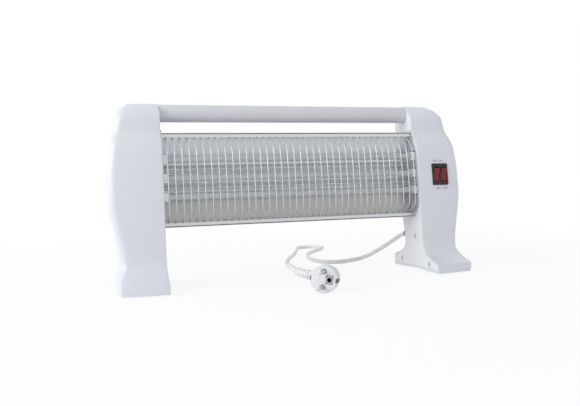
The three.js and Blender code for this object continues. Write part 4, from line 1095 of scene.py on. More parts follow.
@dataclass(frozen=True)
class HousingForm:
    """The form of a right-hand housing, from its side view and its front view.

    The side view gives the front and rear edges at each height as shares of the depth, and the front
    view gives the outer wall as shares of the width. Each level section has a crowned front face and
    a rounded corner at each end of its outer wall. u runs outwards from the inner face.
    """

    height: float = 250
    depth: float = 134
    width: float = 71
    half_span: float = 186
    wall: float = 2.6
    stand_off: float = 1.5
    arch_rise: float = 2.2
    arch_half: float = 38
    corner: float = 11
    rear_corner: float = 12
    crown: float = 1.5
    toe_setback: float = 7
    toe_height: float = 14
    toe_corner: tuple[float, float] = (6, 30)
    toe_blend: float = 45
    top_round: float = 2.4
    mouth_round: float = 0.7
    levels: int = 129
    top_steps: int = 9
    lip_steps: int = 6
    face_steps: int = 19
    near_steps: int = 11
    far_steps: int = 12
    arch_steps: int = 33
    # Heights near the toe on the outer surface, and beside them on the inner one
    toe_marks: tuple[tuple[float, float], ...] = ((14, 12), (17, 14.7), (40, 38.5))
    front_shares: tuple[tuple[float, float], ...] = (
        (0, -0.489), (0.01, -0.5), (0.056, -0.5), (0.074, -0.388), (0.112, -0.254), (0.168, -0.2015),
        (0.26, -0.185), (0.48, -0.153), (0.72, -0.106), (0.76, -0.086), (0.848, 0.009), (0.916, 0.015),
        (0.96, 0.086), (1, 0.2),
    )
    rear_shares: tuple[tuple[float, float], ...] = (
        (0, 0.489), (0.01, 0.5), (0.072, 0.5), (0.088, 0.42), (0.1, 0.33), (0.124, 0.258),
        (0.168, 0.221), (0.268, 0.257), (0.6, 0.336), (0.892, 0.407), (0.968, 0.418), (1, 0.35),
    )
    width_shares: tuple[tuple[float, float], ...] = (
        (0, 0.86), (0.012, 0.885), (0.054, 0.9), (0.08, 0.885), (0.104, 0.85), (0.136, 0.826),
        (0.2, 0.845), (0.28, 0.892), (0.36, 0.947), (0.42, 0.98), (0.48, 1), (0.6, 0.993),
        (0.72, 0.955), (0.8, 0.908), (0.86, 0.859), (0.92, 0.807), (0.968, 0.732), (1, 0.592),
    )

    def _scaled(self, shares: tuple, size: float) -> Line:
        """The line of a view in millimetres."""
        return smooth_line([(height * self.height, value * size) for height, value in shares])

    @cached_property
    def front(self) -> Line:
        """Y of the front face at each height."""
        return self._scaled(self.front_shares, self.depth)

    @cached_property
    def rear(self) -> Line:
        """Y of the rear face at each height."""
        return self._scaled(self.rear_shares, self.depth)

    @cached_property
    def outside(self) -> Line:
        """u of the outer wall at each height."""
        return self._scaled(self.width_shares, self.width)

    @cached_property
    def setback(self) -> Line:
        """How far the front face has fallen back at its outer corner."""
        toe, low, high = self.toe_height, self.toe_setback, self.crown
        return smooth_line([(0, low), (toe, low), (2 * toe, high), (self.height, high)])

    def corner_reach(self, way: int) -> Line:
        """How far the front corner's rounding reaches, across (0) or along (1) the outer wall."""
        low, high = self.toe_corner[way], self.corner
        return smooth_line([(0, low), (self.toe_height, low), (self.toe_blend, high), (self.height, high)])

    @staticmethod
    def inset(line: Line, heights: Array, wall: Array, inwards: int, steps: int = 9) -> Array:
        """A line of a view moved into the housing.

        Args:
            line: The line.
            heights: Where it is wanted.
            wall: How far it moves at each height, square to the surface.
            inwards: 1 if the housing lies at higher values, -1 if at lower ones.
            steps: How many points of the ball are looked at.

        Returns:
            The furthest that a ball of the wall's radius, rolled along the line, reaches in.
        """
        lift = wall * np.linspace(-1, 1, steps)[:, None]
        reach = inwards * line(heights + lift) + np.sqrt(np.maximum(wall**2 - lift**2, 0))
        return inwards * reach.max(axis=0)

    def rings(self, heights: Array, wall: Union[float, Array], mouth: float = 0) -> Array:
        """Level sections, each from the front of the mouth round the outer wall to its rear.

        Args:
            heights: Where the sections are.
            wall: How far inside the outer surface each is.
            mouth: Radius of the rounding at the mouth.

        Returns:
            Levels by columns by three.
        """
        wall = np.broadcast_to(np.asarray(wall, float), heights.shape)
        front, rear, broad = (
            self.inset(line, heights, wall, inwards)[:, None]
            for line, inwards in ((self.front, 1), (self.rear, -1), (self.outside, -1)))
        near, along = ((self.corner_reach(way)(heights) - wall)[:, None] for way in (0, 1))
        far = (self.rear_corner - wall)[:, None]
        back, face = self.setback(heights)[:, None], broad - near
        fall = np.arctan(2 * back / face)
        lip = np.linspace(0, np.pi / 2, self.lip_steps)[None]
        across = mouth + (face - mouth) * np.linspace(0, 1, self.face_steps + 1)[None, 1:]
        turn = fall + (np.pi / 2 - fall) * np.linspace(0, 1, self.near_steps + 1)[None, 1:]
        bend = np.linspace(0, np.pi / 2, self.far_steps)[None]
        u = np.hstack([
            mouth * (1 - np.cos(lip)) + 0 * front,
            across,
            face + near * (np.sin(turn) - np.sin(fall)) / (1 - np.sin(fall)),
            broad - far * (1 - np.cos(bend)),
            mouth * (1 - np.cos(lip[:, ::-1])) + 0 * front,
        ])
        y = np.hstack([
            front + mouth * (1 - np.sin(lip)),
            front + back * (across / face) ** 2,
            front + back + along * (np.cos(fall) - np.cos(turn)),
            rear - far * (1 - np.sin(bend)),
            rear - mouth * (1 - np.sin(lip[:, ::-1])),
        ])
        return np.stack([self.half_span + u, y, heights[:, None] + 0 * u], -1)

    @property
    def cavity(self) -> tuple[float, float]:
        """The floor and the roof of the inside."""
        return self.stand_off + self.arch_rise + self.wall, self.height - self.wall

    def outer_levels(self) -> tuple[Array, Array]:
        """The outer sections: at even heights up to the rounding of the top, then along its quarter circle.

        Returns:
            Their heights, and how far the rounding sets each in.
        """
        rise = np.linspace(0, np.pi / 2, self.top_steps + 1)[1:]
        straight = np.linspace(self.stand_off, self.height - self.top_round, self.levels - self.top_steps)
        heights = np.concatenate([straight, self.height - self.top_round * (1 - np.sin(rise))])
        return heights, np.concatenate([0 * straight, self.top_round * (1 - np.cos(rise))])

    def inner_levels(self, low: float, high: float) -> Array:
        """Heights inside the moulding, each square across the wall from an outer section.

        Args:
            low: The lowest.
            high: The highest.

        Returns:
            As many heights as there are outer sections.
        """
        floor, roof = self.cavity
        marks = np.array([(self.stand_off, floor), *self.toe_marks, (self.height, roof)])
        beside = np.interp(self.outer_levels()[0], *marks.T)
        return low + (high - low) * (beside - floor) / (roof - floor)

    def shell(self) -> Skin:
        """The moulding as one closed surface: outer skin, inner skin, the rim between them, and lids.

        Returns:
            The surface.
        """
        heights, wall = self.outer_levels()
        outer = self.rings(heights, wall, self.mouth_round)
        inner = self.rings(self.inner_levels(*self.cavity), self.wall)
        skin = grid(np.concatenate([outer, inner[:, ::-1]], axis=1), wrap_columns=True)
        number = np.arange(len(skin.points)).reshape(len(heights), -1)
        split = outer.shape[1]
        parts = (slice(split), slice(split, None), [0, split - 1, split, -1])
        lids = [number[[end]][:, part] for end in (0, -1) for part in parts]
        return Skin(skin.points, [*skin.faces, *lids])

    def mouth_outline(self, wall: float, low: float, high: float) -> Array:
        """The outline of a plate in the mouth.

        Args:
            wall: How far inside the outer surface its edge is.
            low: Its lower edge.
            high: Its upper edge.

        Returns:
            Pairs of Y and Z, up the front and down the rear.
        """
        heights = self.inner_levels(low, high)
        everywhere = np.full(heights.shape, wall)
        front = self.inset(self.front, heights, everywhere, 1)
        rear = self.inset(self.rear, heights, everywhere, -1)
        return np.vstack([np.stack([front, heights], 1), np.stack([rear, heights], 1)[::-1]])

    def reach(self, y: float, z: float) -> float:
        """X of the outer surface at a place in the side view.

        Args:
            y: How far back the place is.
            z: Its height.

        Returns:
            X there, on a right-hand housing.
        """
        outside = self.rings(np.array([z], float), 0.0)[0][self.lip_steps : -self.lip_steps]
        return float(np.interp(y, outside[:, 1], outside[:, 0]))


FORM = HousingForm()
TUBE_SETBACK = 13.2  # how far the tubes lie behind the front face
RETURN_SETBACK = 41.7  # how far the return lead does, where it runs through the end plates
RETURN_ABOVE = 80  # it runs halfway between this height and the lowest tube


def centre(node: str) -> Array:
    """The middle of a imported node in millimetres."""
    low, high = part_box(node)
    return (np.array(low) + np.array(high)) / 2 / MM


def tube_axes() -> list[Array]:
    """Y and Z of the three tubes' axes, from the lowest up."""
    return [centre(f"quartz_tube_{number}")[1:] for number in (1, 2, 3)]


def stadium(length: float, height: float, steps: int = 10) -> Array:
    """The outline of a slot with round ends.

    Args:
        length: The slot's length.
        height: Its height.
        steps: Points round each end.

    Returns:
        The outline about its middle.
    """
    angle = np.linspace(-np.pi / 2, np.pi / 2, steps)
    end = np.stack([np.cos(angle), np.sin(angle)], 1) * height / 2 + ((length - height) / 2, 0)
    return np.vstack([end, -end])


def rounded_block(low: Span, high: Span, corner: float, axis: str = "X") -> Skin:
    """A block whose four edges along an axis are rounded.

    Args:
        low: Its lowest corner.
        high: Its highest corner.
        corner: How far the roundings reach.
        axis: The letter of the axis.

    Returns:
        The closed surface.
    """
    at = "XYZ".index(axis)
    (a0, b0), (a1, b1) = (np.delete(np.asarray(end, float), at) for end in (low, high))
    outline = eased([(a0, b0), (a1, b0), (a1, b1), (a0, b1)], corner, 5, closed=True)
    return extruded(outline, axis, low[at], high[at])


@dataclass
class CoverScrew:
    """A cross-head screw along X whose head starts at zero."""

    head: float = 3
    head_height: float = 2
    flat: float = 1.9
    dome: float = 0.6
    shank: float = 1.5
    thread_end: float = 12.4
    tip: float = 13.6
    slot_long: float = 1.7
    slot_wide: float = 0.32
    slot_depth: float = 1.1

    def body(self) -> Skin:
        """A profile turned about X: a domed head, a shank and a blunt tip.

        Returns:
            The screw without its slots.
        """
        profile = [
            (0, 0), (0, self.flat), (self.dome, self.head), (self.head_height, self.head),
            (self.head_height, self.shank), (self.thread_end, self.shank), (self.tip, 0)]
        return turned(eased(profile, [0, 1.2, 0.5, 0.1, 0, 0.3, 0]), "X", 28)

    def slot(self, upright: bool) -> Skin:
        """One arm of the cross.

        Args:
            upright: Whether the arm stands upright or lies level.

        Returns:
            The cutter.
        """
        y, z = (self.slot_wide, self.slot_long) if upright else (self.slot_long, self.slot_wide)
        return box((-OVERRUN, -y, -z), (self.slot_depth, y, z))


@dataclass
class EndHousing:
    """One end of the heater: its shell, its cover and what they hold."""

    side: Side
    form: HousingForm = FORM
    cover_thickness: float = 2.5
    boss: float = 4
    boss_sink: float = 1.2  # how far below the outer surface a boss ends
    cup_bore: float = 3.6
    cup_outer: float = 5
    cup_floor: float = 192.5
    cup_end: float = 193.9
    spot_shares: tuple[tuple[float, float], ...] = (
        (-0.008, 0.203), (0.31, 0.054), (-0.311, 0.046), (0.3, 0.78),
    )  # places of the cover's screws, as shares of the depth and of the height
    opening_width: float = 12.6
    opening_height: float = 16
    opening_corner: float = 1.2
    rail_hole: float = 1.8
    screw_hole: float = 1.8
    wire_hole: float = 2
    pad_spot: float = 46.23
    pad_half: float = 21.3
    pad_rise: float = 6.3
    pad_middle: float = 215
    pad_pocket: float = 1.4
    pad_corner: float = 3.3
    plate_sheet: float = 0.8
    plate_margin: float = 1.6
    plate_behind: float = 5.5
    plate_corner: float = 3
    bow_shares: tuple[float, float] = (0.14, 0.86)  # where the cheek's bow starts and ends, down its height
    bow_steps: int = 40
    cover_edge: tuple[float, float] = (0.2, 50)  # width of its rounding, and the least angle of an edge
    plate_edge: tuple[float, float] = (0.25, 50)

    def name(self, rest: str) -> str:
        """A name with this end's word before it."""
        return f"{self.side.word}_{rest}"

    def spots(self) -> Array:
        """Y and Z of the cover's screws."""
        return np.array(self.spot_shares) * (self.form.depth, self.form.height)

    def made(self, name: str, skin: Skin) -> Piece:
        """A piece of this end from the surface of its right-hand twin."""
        return Piece(self.name(name), skin.for_side(self.side))

    def mirrored(self, skins: Sequence[Skin]) -> list[Skin]:
        """The surfaces of right-hand cutters or additions, on this end."""
        return [skin.for_side(self.side) for skin in skins]

    def arch(self) -> Skin:
        """The hollow under the foot: its roof is a parabola over the hollow's width.

        Returns:
            The cutter.
        """
        form, base = self.form, self.form.stand_off
        y = np.linspace(-form.arch_half, form.arch_half, form.arch_steps)
        roof = base + form.arch_rise * (1 - (y / form.arch_half) ** 2)
        ends = [(form.arch_half, base - OVERRUN), (-form.arch_half, base - OVERRUN)]
        outline = [*np.stack([y, roof], 1), *ends]
        return extruded(outline, "X", form.half_span - OVERRUN, form.half_span + form.width + OVERRUN)

    def pocket(self, sign: int) -> Skin:
        """The pocket of one pad.

        Args:
            sign: -1 for the front pad, 1 for the rear one.

        Returns:
            The cutter.
        """
        base, x, y = self.form.stand_off, self.pad_middle, sign * self.pad_spot
        low = (x - self.pad_half, y - self.pad_rise, base - OVERRUN)
        high = (x + self.pad_half, y + self.pad_rise, base + self.pad_pocket)
        return rounded_block(low, high, self.pad_corner, "Z")

    def shell(self) -> Piece:
        """The outer moulding with its screw bosses, the hollow under its foot and its pads' pockets.

        Returns:
            The piece.
        """
        bosses = [
            rod(self.cup_end + FIT_GAP, self.form.reach(y, z) - self.boss_sink, self.boss, (0, y, z))
            for y, z in self.spots()]
        whole = self.made("housing", self.form.shell()).joined_with(*self.mirrored(bosses))
        return whole.cut(*self.mirrored([self.arch(), self.pocket(-1), self.pocket(1)]))

    def openings(self, start: float, end: float) -> list[Skin]:
        """What passes through both the cover and the end plate: caps, rails and the return lead.

        Args:
            start: X where the cutters start.
            end: X where they end.

        Returns:
            The cutters.
        """
        half, rise = self.opening_width / 2, self.opening_height / 2
        caps = [
            rounded_block((start, y - half, z - rise), (end, y + half, z + rise), self.opening_corner)
            for y, z in tube_axes()]
        rails = [rod(start, end, self.rail_hole, (0, *place)) for place in WireGuard().rails()]
        lead = rod(start, end, self.wire_hole, (0, *return_spot()))
        return [*caps, *rails, lead]

    def cover(self) -> Piece:
        """The plate in the mouth, with its screw cups and its openings.

        Returns:
            The piece.
        """
        form, start, handle = self.form, self.form.half_span, CarryingHandle()
        floor, roof = form.cavity
        gap, past = FIT_GAP / 2, start + self.cover_thickness + OVERRUN
        outline = form.mouth_outline(form.wall + gap, floor + gap, roof - gap)
        plate = self.made("cover", extruded(outline, "X", start, start + self.cover_thickness))
        cups = [rod(start + LAP, self.cup_end, self.cup_outer, (0, y, z)) for y, z in self.spots()]
        bores = [rod(start - OVERRUN, self.cup_floor, self.cup_bore, (0, y, z)) for y, z in self.spots()]
        screw = rod(start - OVERRUN, past, self.screw_hole, (0, handle.back, handle.height))
        holes = [*bores, *self.openings(start - OVERRUN, past), screw]
        return plate.joined_with(*self.mirrored(cups)).cut(*self.mirrored(holes))

    def screws(self) -> None:
        """The cross-head screws that lie in the cover's cups."""
        screw = CoverScrew()
        places = [(self.cup_floor - screw.head_height, y, z) for y, z in self.spots()]
        whole = self.made("cover_screws", joined([screw.body().shifted(place) for place in places]))
        for upright in (False, True):
            whole.cut(*self.mirrored([screw.slot(upright).shifted(place) for place in places]))
        whole.mounted(ZINC, Body.HEATER)

    def end_plate(self) -> Piece:
        """The polished cheek between the reflector and the housing, bowed like the guard.

        Returns:
            The piece.
        """
        low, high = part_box(self.name("end_plate"))
        bottom, top = low[2] / MM, high[2] / MM
        heights = top - (top - bottom) * np.linspace(*self.bow_shares, self.bow_steps)
        bow = np.stack([self.form.front(heights) + self.plate_behind, heights], 1)
        top_front, top_back, low_back, low_front = (y for y, _ in Reflector().casing_corners())
        margin, corner = self.plate_margin, self.plate_corner
        edge = eased([
            (low_front - margin, bottom), (low_back + margin, bottom),
            (top_back + margin, top), (top_front - margin, top)], [0, corner, corner, 0])
        end = self.form.half_span - FIT_GAP
        start = end - self.plate_sheet
        plate = self.made("cheek", extruded(np.vstack([edge, bow]), "X", start, end))
        return plate.cut(*self.mirrored(self.openings(start - OVERRUN, end + OVERRUN)))

    def fittings(self) -> None:
        """Caps, terminals, retainer and the handle's plug and screw, with their edges rounded."""
        parts = [
            (f"{part}_{number}", finish, width) for number in (1, 2, 3)
            for part, finish, width in (("tube_cap", CERAMIC, 0.6), ("tube_terminal", BRASS, 0.2))]
        # The retainer's near-black finish is painted shade in the slots round the caps
        parts += [
            ("cap_retainer", SHADE_BLACK_STEEL, 0.2), ("handle_plug", NYLON, 0.4), ("handle_screw", ZINC, 0.2),
            ("front_pad", RUBBER, 0.5), ("rear_pad", RUBBER, 0.5)]
        for part, finish, width in parts:
            rounded(self.name(part), finish, width)

    def build(self) -> tuple[Piece, Piece]:
        """The pieces that both ends share.

        Returns:
            The shell and the cover, still bare.
        """
        self.screws()
        cheek = self.end_plate().softened(*self.plate_edge)
        cheek.mounted(CHEEK_STEEL, Body.HEATER, [self.name("end_plate")])
        self.fittings()
        return self.shell(), self.cover()


@dataclass
class SwitchSeat:
    """Where the switch sits: it leans with the housing's front face."""

    place: tuple[float, float, float] = (221.3, -17.19, 142.8)
    lean: float = -5.34
    recess_half: float = 13.1
    recess_rise: float = 16.3
    recess_front: float = 3.2
    recess_corner: float = 1.2
    body_half: float = 12.6
    body_rise: float = 13.5
    body_depth: float = 8

    def in_place(self, skin: Skin) -> Skin:
        """A part built facing -Y about the seat's middle, put where the seat is."""
        return skin.placed(about("X", self.lean), self.place)

    def recess(self) -> Skin:
        """The shallow seat of the bezel.

        Returns:
            The cutter.
        """
        half, rise = self.recess_half, self.recess_rise
        low, high = (-half, -self.recess_front, -rise), (half, 0, rise)
        return self.in_place(rounded_block(low, high, self.recess_corner, "Y"))

    def opening(self) -> Skin:
        """The opening for the switch's body."""
        half, rise = self.body_half, self.body_rise
        return self.in_place(box((-half, -OVERRUN, -rise), (half, self.body_depth, rise)))


@dataclass
class CordInlet:
    """Where the cord comes in: square to the leaning rear wall."""

    place: tuple[float, float, float] = (202, 32.187, 57)
    lean: float = -13.26
    hole: float = 5.5
    channel: float = 3.7
    wall_reach: float = 13
    clamp_reach: float = 27
    sleeve: float = 25
    sleeve_start: float = 2.2
    sleeve_base: float = 6.4
    sleeve_taper: float = 1.6
    flanges: tuple[tuple[float, float], ...] = (
        (-4.5, 7.7), (-2.9, 7.7), (-2.9, 5.2), (0.6, 5.2), (0.6, 7.6), (1.0, 8), (1.9, 8), (2.2, 7.6),
    )  # place along the cord and radius of the inner flange, the groove and the outer flange
    rib: float = 0.4
    ribs: int = 7
    ribbed_shares: tuple[float, float] = (0.12, 0.9)

    def in_place(self, skin: Skin) -> Skin:
        """A part built along +Y from the wall's outer face, put where the inlet is."""
        return skin.placed(about("X", self.lean), self.place)

    def wall_hole(self) -> Skin:
        """The hole in the rear wall."""
        return self.in_place(rod(-self.wall_reach, self.sleeve, self.hole, axis="Y"))

    def bore(self) -> Skin:
        """The cord's way through the clamp."""
        return self.in_place(rod(-self.clamp_reach, self.sleeve, self.channel, axis="Y"))

    def bush(self) -> None:
        """The rubber bush: a groove for the wall, and a tapered sleeve whose ribs are clipped sine waves."""
        share = np.linspace(0, 1, 90)
        first, last = self.ribbed_shares
        wave = np.clip(2 * np.sin(2 * np.pi * self.ribs * share), -1, 0)
        radius = self.sleeve_base - self.sleeve_taper * share
        radius += self.rib * np.where((share > first) & (share < last), wave, 0)
        along = self.sleeve_start + self.sleeve * share
        inside = [(along[-1], self.channel), (self.flanges[0][0], self.channel)]
        profile = np.vstack([inside, self.flanges, np.stack([along, radius], 1)])
        made = Piece("inlet_bush", self.in_place(turned(profile, "Y", 40, closed=True)))
        made.mounted(BUSH, Body.HEATER, ["cord_bush"], smooth=50)


@dataclass
class LeftEnd(EndHousing):
    """The plain end."""

    side: Side = Side.LEFT

    def assemble(self) -> None:
        """Mounts its shell and its cover."""
        shell, cover = self.build()
        shell.mounted(SHADE_TINTED_SHELL, Body.HEATER, ["left_outer_shell"])
        cover.softened(*self.cover_edge).mounted(COVER, Body.HEATER, ["left_inner_cover"])


@dataclass
class RightEnd(EndHousing):
    """The end with the switch and the cord."""

    side: Side = Side.RIGHT
    block_boss: float = 5
    saddle_low: tuple[float, float, float] = (187, 10.2, 48.2)
    saddle_high: tuple[float, float, float] = (201, 18.2, 74.2)

    def block_post(self) -> Skin:
        """The post behind the terminal block.

        Returns:
            A cylinder from the block to the wall.
        """
        _, y, z = centre("terminal_block")
        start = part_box("terminal_block")[1][0] / MM + FIT_GAP
        return rod(start, self.form.reach(y, z) - self.boss_sink, self.block_boss, (0, y, z))

    def assemble(self) -> None:
        """Opens the shell for the switch and the cord, and gives the cover its saddle for the clamp."""
        shell, cover = self.build()
        seat, inlet = SwitchSeat(), CordInlet()
        shell.joined_with(self.block_post()).cut(seat.recess()).cut(seat.opening(), inlet.wall_hole())
        shell.mounted(SHADE_TINTED_SHELL, Body.HEATER, ["right_outer_shell"])
        cover.joined_with(box(self.saddle_low, self.saddle_high)).cut(inlet.bore())
        cover.softened(*self.cover_edge).mounted(COVER, Body.HEATER, ["right_inner_cover"])
        inlet.bush()


# Reflector, casing, guard, tubes and handle


def return_spot() -> Array:
    """Y and Z of the return lead where it runs through the end plates."""
    height = (RETURN_ABOVE + tube_axes()[0][1]) / 2
    return np.array([float(FORM.front(height)) + RETURN_SETBACK, height])


@dataclass
class Reflector:
    """The polished sheet behind the tubes and the plain casing behind the sheet."""

    sheet: float = 0.8
    fold: float = 1.4
    top: float = 206.3
    bottom: float = 81.3
    top_lip: float = 3.6
    bottom_lip: float = -0.1
    lip: float = 5
    flange: float = 7
    trough: float = 17.5
    trough_half: float = 6.5
    trough_round: float = 6
    ridge: float = 12
    ridge_round: float = 2.5
    air: float = 24.5
    end: float = 184.6
    casing_round: float = 3
    vent_length: float = 38
    vent_height: float = 4
    vent_columns: int = 6
    vent_shares: tuple[float, ...] = (0.22, 0.36, 0.64, 0.78)
    vent_cut: tuple[float, float] = (30, 75)  # Y between which the vents are cut

    def middle_line(self) -> Array:
        """The folds in the side view: an upper lip, a trough behind each tube and a lower lip.

        Returns:
            Pairs of Y and Z.
        """
        half, axes, fold = self.sheet / 2, tube_axes(), self.fold
        corners = [
            (self.top_lip, self.top - self.lip), (self.top_lip, self.top - half),
            (self.top_lip + self.flange, self.top - half)]
        reach = [0, fold, fold]
        for number, (y, z) in enumerate(reversed(axes)):
            if number:
                corners.append((y + self.ridge, (z + axes[-number][1]) / 2))
                reach.append(self.ridge_round)
            corners += [(y + self.trough, z + self.trough_half), (y + self.trough, z - self.trough_half)]
            reach += [self.trough_round, self.trough_round]
        corners += [
            (self.bottom_lip + self.flange, self.bottom + half), (self.bottom_lip, self.bottom + half),
            (self.bottom_lip, self.bottom + self.lip)]
        return eased(corners, [*reach, fold, fold, 0], 8)

    def casing_corners(self) -> list[tuple[float, float]]:
        """The casing's folds in the side view, from its upper front edge to its lower one.

        Returns:
            Pairs of Y and Z.
        """
        axes, half = tube_axes(), self.sheet / 2
        top, bottom = self.top + FIT_GAP + half, self.bottom - FIT_GAP - half
        pitch = axes[1][1] - axes[0][1]
        upper, lower = (
            float(FORM.front(height)) + TUBE_SETBACK + self.trough + self.air
            for height in (axes[-1][1] + pitch / 2, axes[0][1] - pitch / 2))
        return [(self.top_lip - half, top), (upper, top), (lower, bottom), (self.bottom_lip - half, bottom)]

    def reflector(self) -> None:
        """The polished sheet."""
        skin = extruded(sheet_outline(self.middle_line(), self.sheet), "X", -self.end, self.end)
        Piece("reflector_sheet", skin).mounted(MIRROR_STEEL, Body.HEATER, ["reflector"], smooth=40)

    def casing(self) -> None:
        """The casing, with rows of round-ended vents through its back."""
        corners = self.casing_corners()
        (_, top), (_, bottom) = corners[1:3]
        line = sheet_outline(eased(corners, [0, self.casing_round, self.casing_round, 0], 6), self.sheet)
        vent = extruded(stadium(self.vent_length, self.vent_height), "Y", *self.vent_cut)
        spacing = 2 * self.end / (self.vent_columns + 1)
        across = (np.arange(self.vent_columns) - (self.vent_columns - 1) / 2) * spacing
        vents = [
            vent.shifted((x, 0, bottom + (top - bottom) * share))
            for share in self.vent_shares for x in across]
        made = Piece("casing", extruded(line, "X", -self.end, self.end)).cut(*vents)
        made.mounted(PLAIN_STEEL, Body.HEATER, ["rear_casing"])

    def build(self) -> None:
        """Both sheets."""
        self.reflector()
        self.casing()


@dataclass
class WireGuard:
    """Bowed wires welded to two rails that hide behind the reflector's lips."""

    wires: int = 38
    pitch: float = 9.7
    wire: float = 0.75
    rail: float = 1.2
    end: float = 187.5
    stand: float = 11.5  # how far the wires stand before the tubes
    low_bend: float = 1.6  # how far below the lowest tube the wires turn back, in half pitches of the tubes
    bends: tuple[float, ...] = (0, 2, 7, 9, 9, 4, 2, 0)  # the rounding at each corner of a wire

    def rails(self) -> list[tuple[float, float]]:
        """Y and Z of the upper rail and the lower one, behind the middles of the reflector's lips.

        Returns:
            Both places.
        """
        shape = Reflector()
        step, half = shape.sheet / 2 + FIT_GAP + self.rail, shape.lip / 2
        return [(shape.top_lip + step, shape.top - half), (shape.bottom_lip + step, shape.bottom + half)]

    def bow(self) -> Array:
        """One wire in the side view, from the upper rail over the tubes to the lower rail.

        Returns:
            Pairs of Y and Z.
        """
        shape, (upper, lower) = Reflector(), self.rails()
        low, middle, high = (height for _, height in tube_axes())
        bend, clear = (middle - low) / 2, self.wire + FIT_GAP

        def front(height: float) -> float:
            """Y of the bow at a height."""
            return float(FORM.front(height)) + TUBE_SETBACK - self.stand

        corners = [
            upper,
            (upper[0] - FIT_GAP, shape.top - shape.lip - clear),
            (front(high + bend) + self.wire, high + bend),
            (front(high - bend), high - bend),
            (front(low), low),
            (front(low) + self.wire, low - self.low_bend * bend),
            (lower[0] - FIT_GAP, shape.bottom + shape.lip + clear),
            lower,
        ]
        return eased(corners, self.bends, 7)

    def build(self) -> None:
        """The rails and the wires as one welded piece."""
        bow = self.bow()
        path = np.column_stack([np.zeros(len(bow)), bow])
        wire = carried(path, self.wire, 12, (1, 0, 0))
        places = (np.arange(self.wires) - (self.wires - 1) / 2) * self.pitch
        rails = [rod(-self.end, self.end, self.rail, (0, *place), steps=20) for place in self.rails()]
        whole = joined([*rails, *(wire.shifted((x, 0, 0)) for x in places)])
        Piece("guard", whole).mounted(BRIGHT_WIRE, Body.HEATER, ["wire_guard"], smooth=50)


def pipe(end: float, inner: float, outer: float, rim: float, steps: int) -> Skin:
    """A ring turned about X.

    Args:
        end: Half its length.
        inner: Its bore's radius.
        outer: Its own radius.
        rim: How far its edges are rounded.
        steps: Angles in the round.

    Returns:
        The pipe.
    """
    ring = [(-end, inner), (-end, outer), (end, outer), (end, inner)]
    return turned(eased(ring, rim, 4, closed=True), "X", steps, closed=True)


@dataclass
class HeatingTube:
    """One quartz tube with the fine coil inside it."""

    number: int
    outer: float = 4.5
    inner: float = 3.4
    end: float = 185.7
    coil_end: float = 182.4
    coil_half: float = 172
    rim: float = 0.4
    turns: int = 150
    drawn_turns: int = 2  # turns at each end over which the coil draws in
    lead_in: float = 1
    coil: float = 2.3
    wire: float = 0.32
    steps: int = 14

    def tube(self) -> Skin:
        """The glass, a ring turned about the axis with fire-polished rims."""
        return pipe(self.end, self.inner, self.outer, self.rim, 48)

    def winding(self) -> Skin:
        """The coil: it draws in to the axis at each end and runs straight to its terminal.

        Returns:
            The wire along a helix whose radius is a quarter sine wave at each end.
        """
        count = self.turns * self.steps
        turn = np.arange(count + 1) / self.steps
        from_end = np.minimum(turn, self.turns - turn) / self.drawn_turns
        radius = self.coil * np.sin(np.minimum(from_end, 1) * np.pi / 2)
        along = np.linspace(-self.coil_half, self.coil_half, count + 1)
        helix = np.stack([along, radius * np.cos(2 * np.pi * turn), radius * np.sin(2 * np.pi * turn)], 1)
        tail = np.linspace((self.coil_half + self.lead_in, 0, 0), (self.coil_end, 0, 0), 8)
        path = np.vstack([(tail * (-1, 1, 1))[::-1], helix, tail])
        return carried(path, self.wire, 6, (1, 0, 0.001))

    def build(self) -> None:
        """Both pieces on the tube's axis."""
        place = (0, *tube_axes()[self.number - 1])
        glass = Piece(f"quartz_{self.number}", self.tube().shifted(place))
        glass.mounted(QUARTZ, Body.HEATER, [f"quartz_tube_{self.number}"])
        coil = Piece(f"coil_{self.number}", self.winding().shifted(place))
        coil.mounted(HOT_WIRE, Body.HEATER, [f"heating_coil_{self.number}"], smooth=60)


@dataclass
class CarryingHandle:
    """The round tube between the housings."""

    outer: float = 12.1
    wall: float = 1.6
    rim: float = 0.5
    end: float = 185.7
    back: float = 28
    height: float = 236.5

    def build(self) -> None:
        """A ring turned about X, with its rims eased."""
        skin = pipe(self.end, self.outer - self.wall, self.outer, self.rim, 72)
        Piece("handle", skin.shifted((0, self.back, self.height))).mounted(GRIP, Body.HEATER, ["handle_tube"])


# Switch


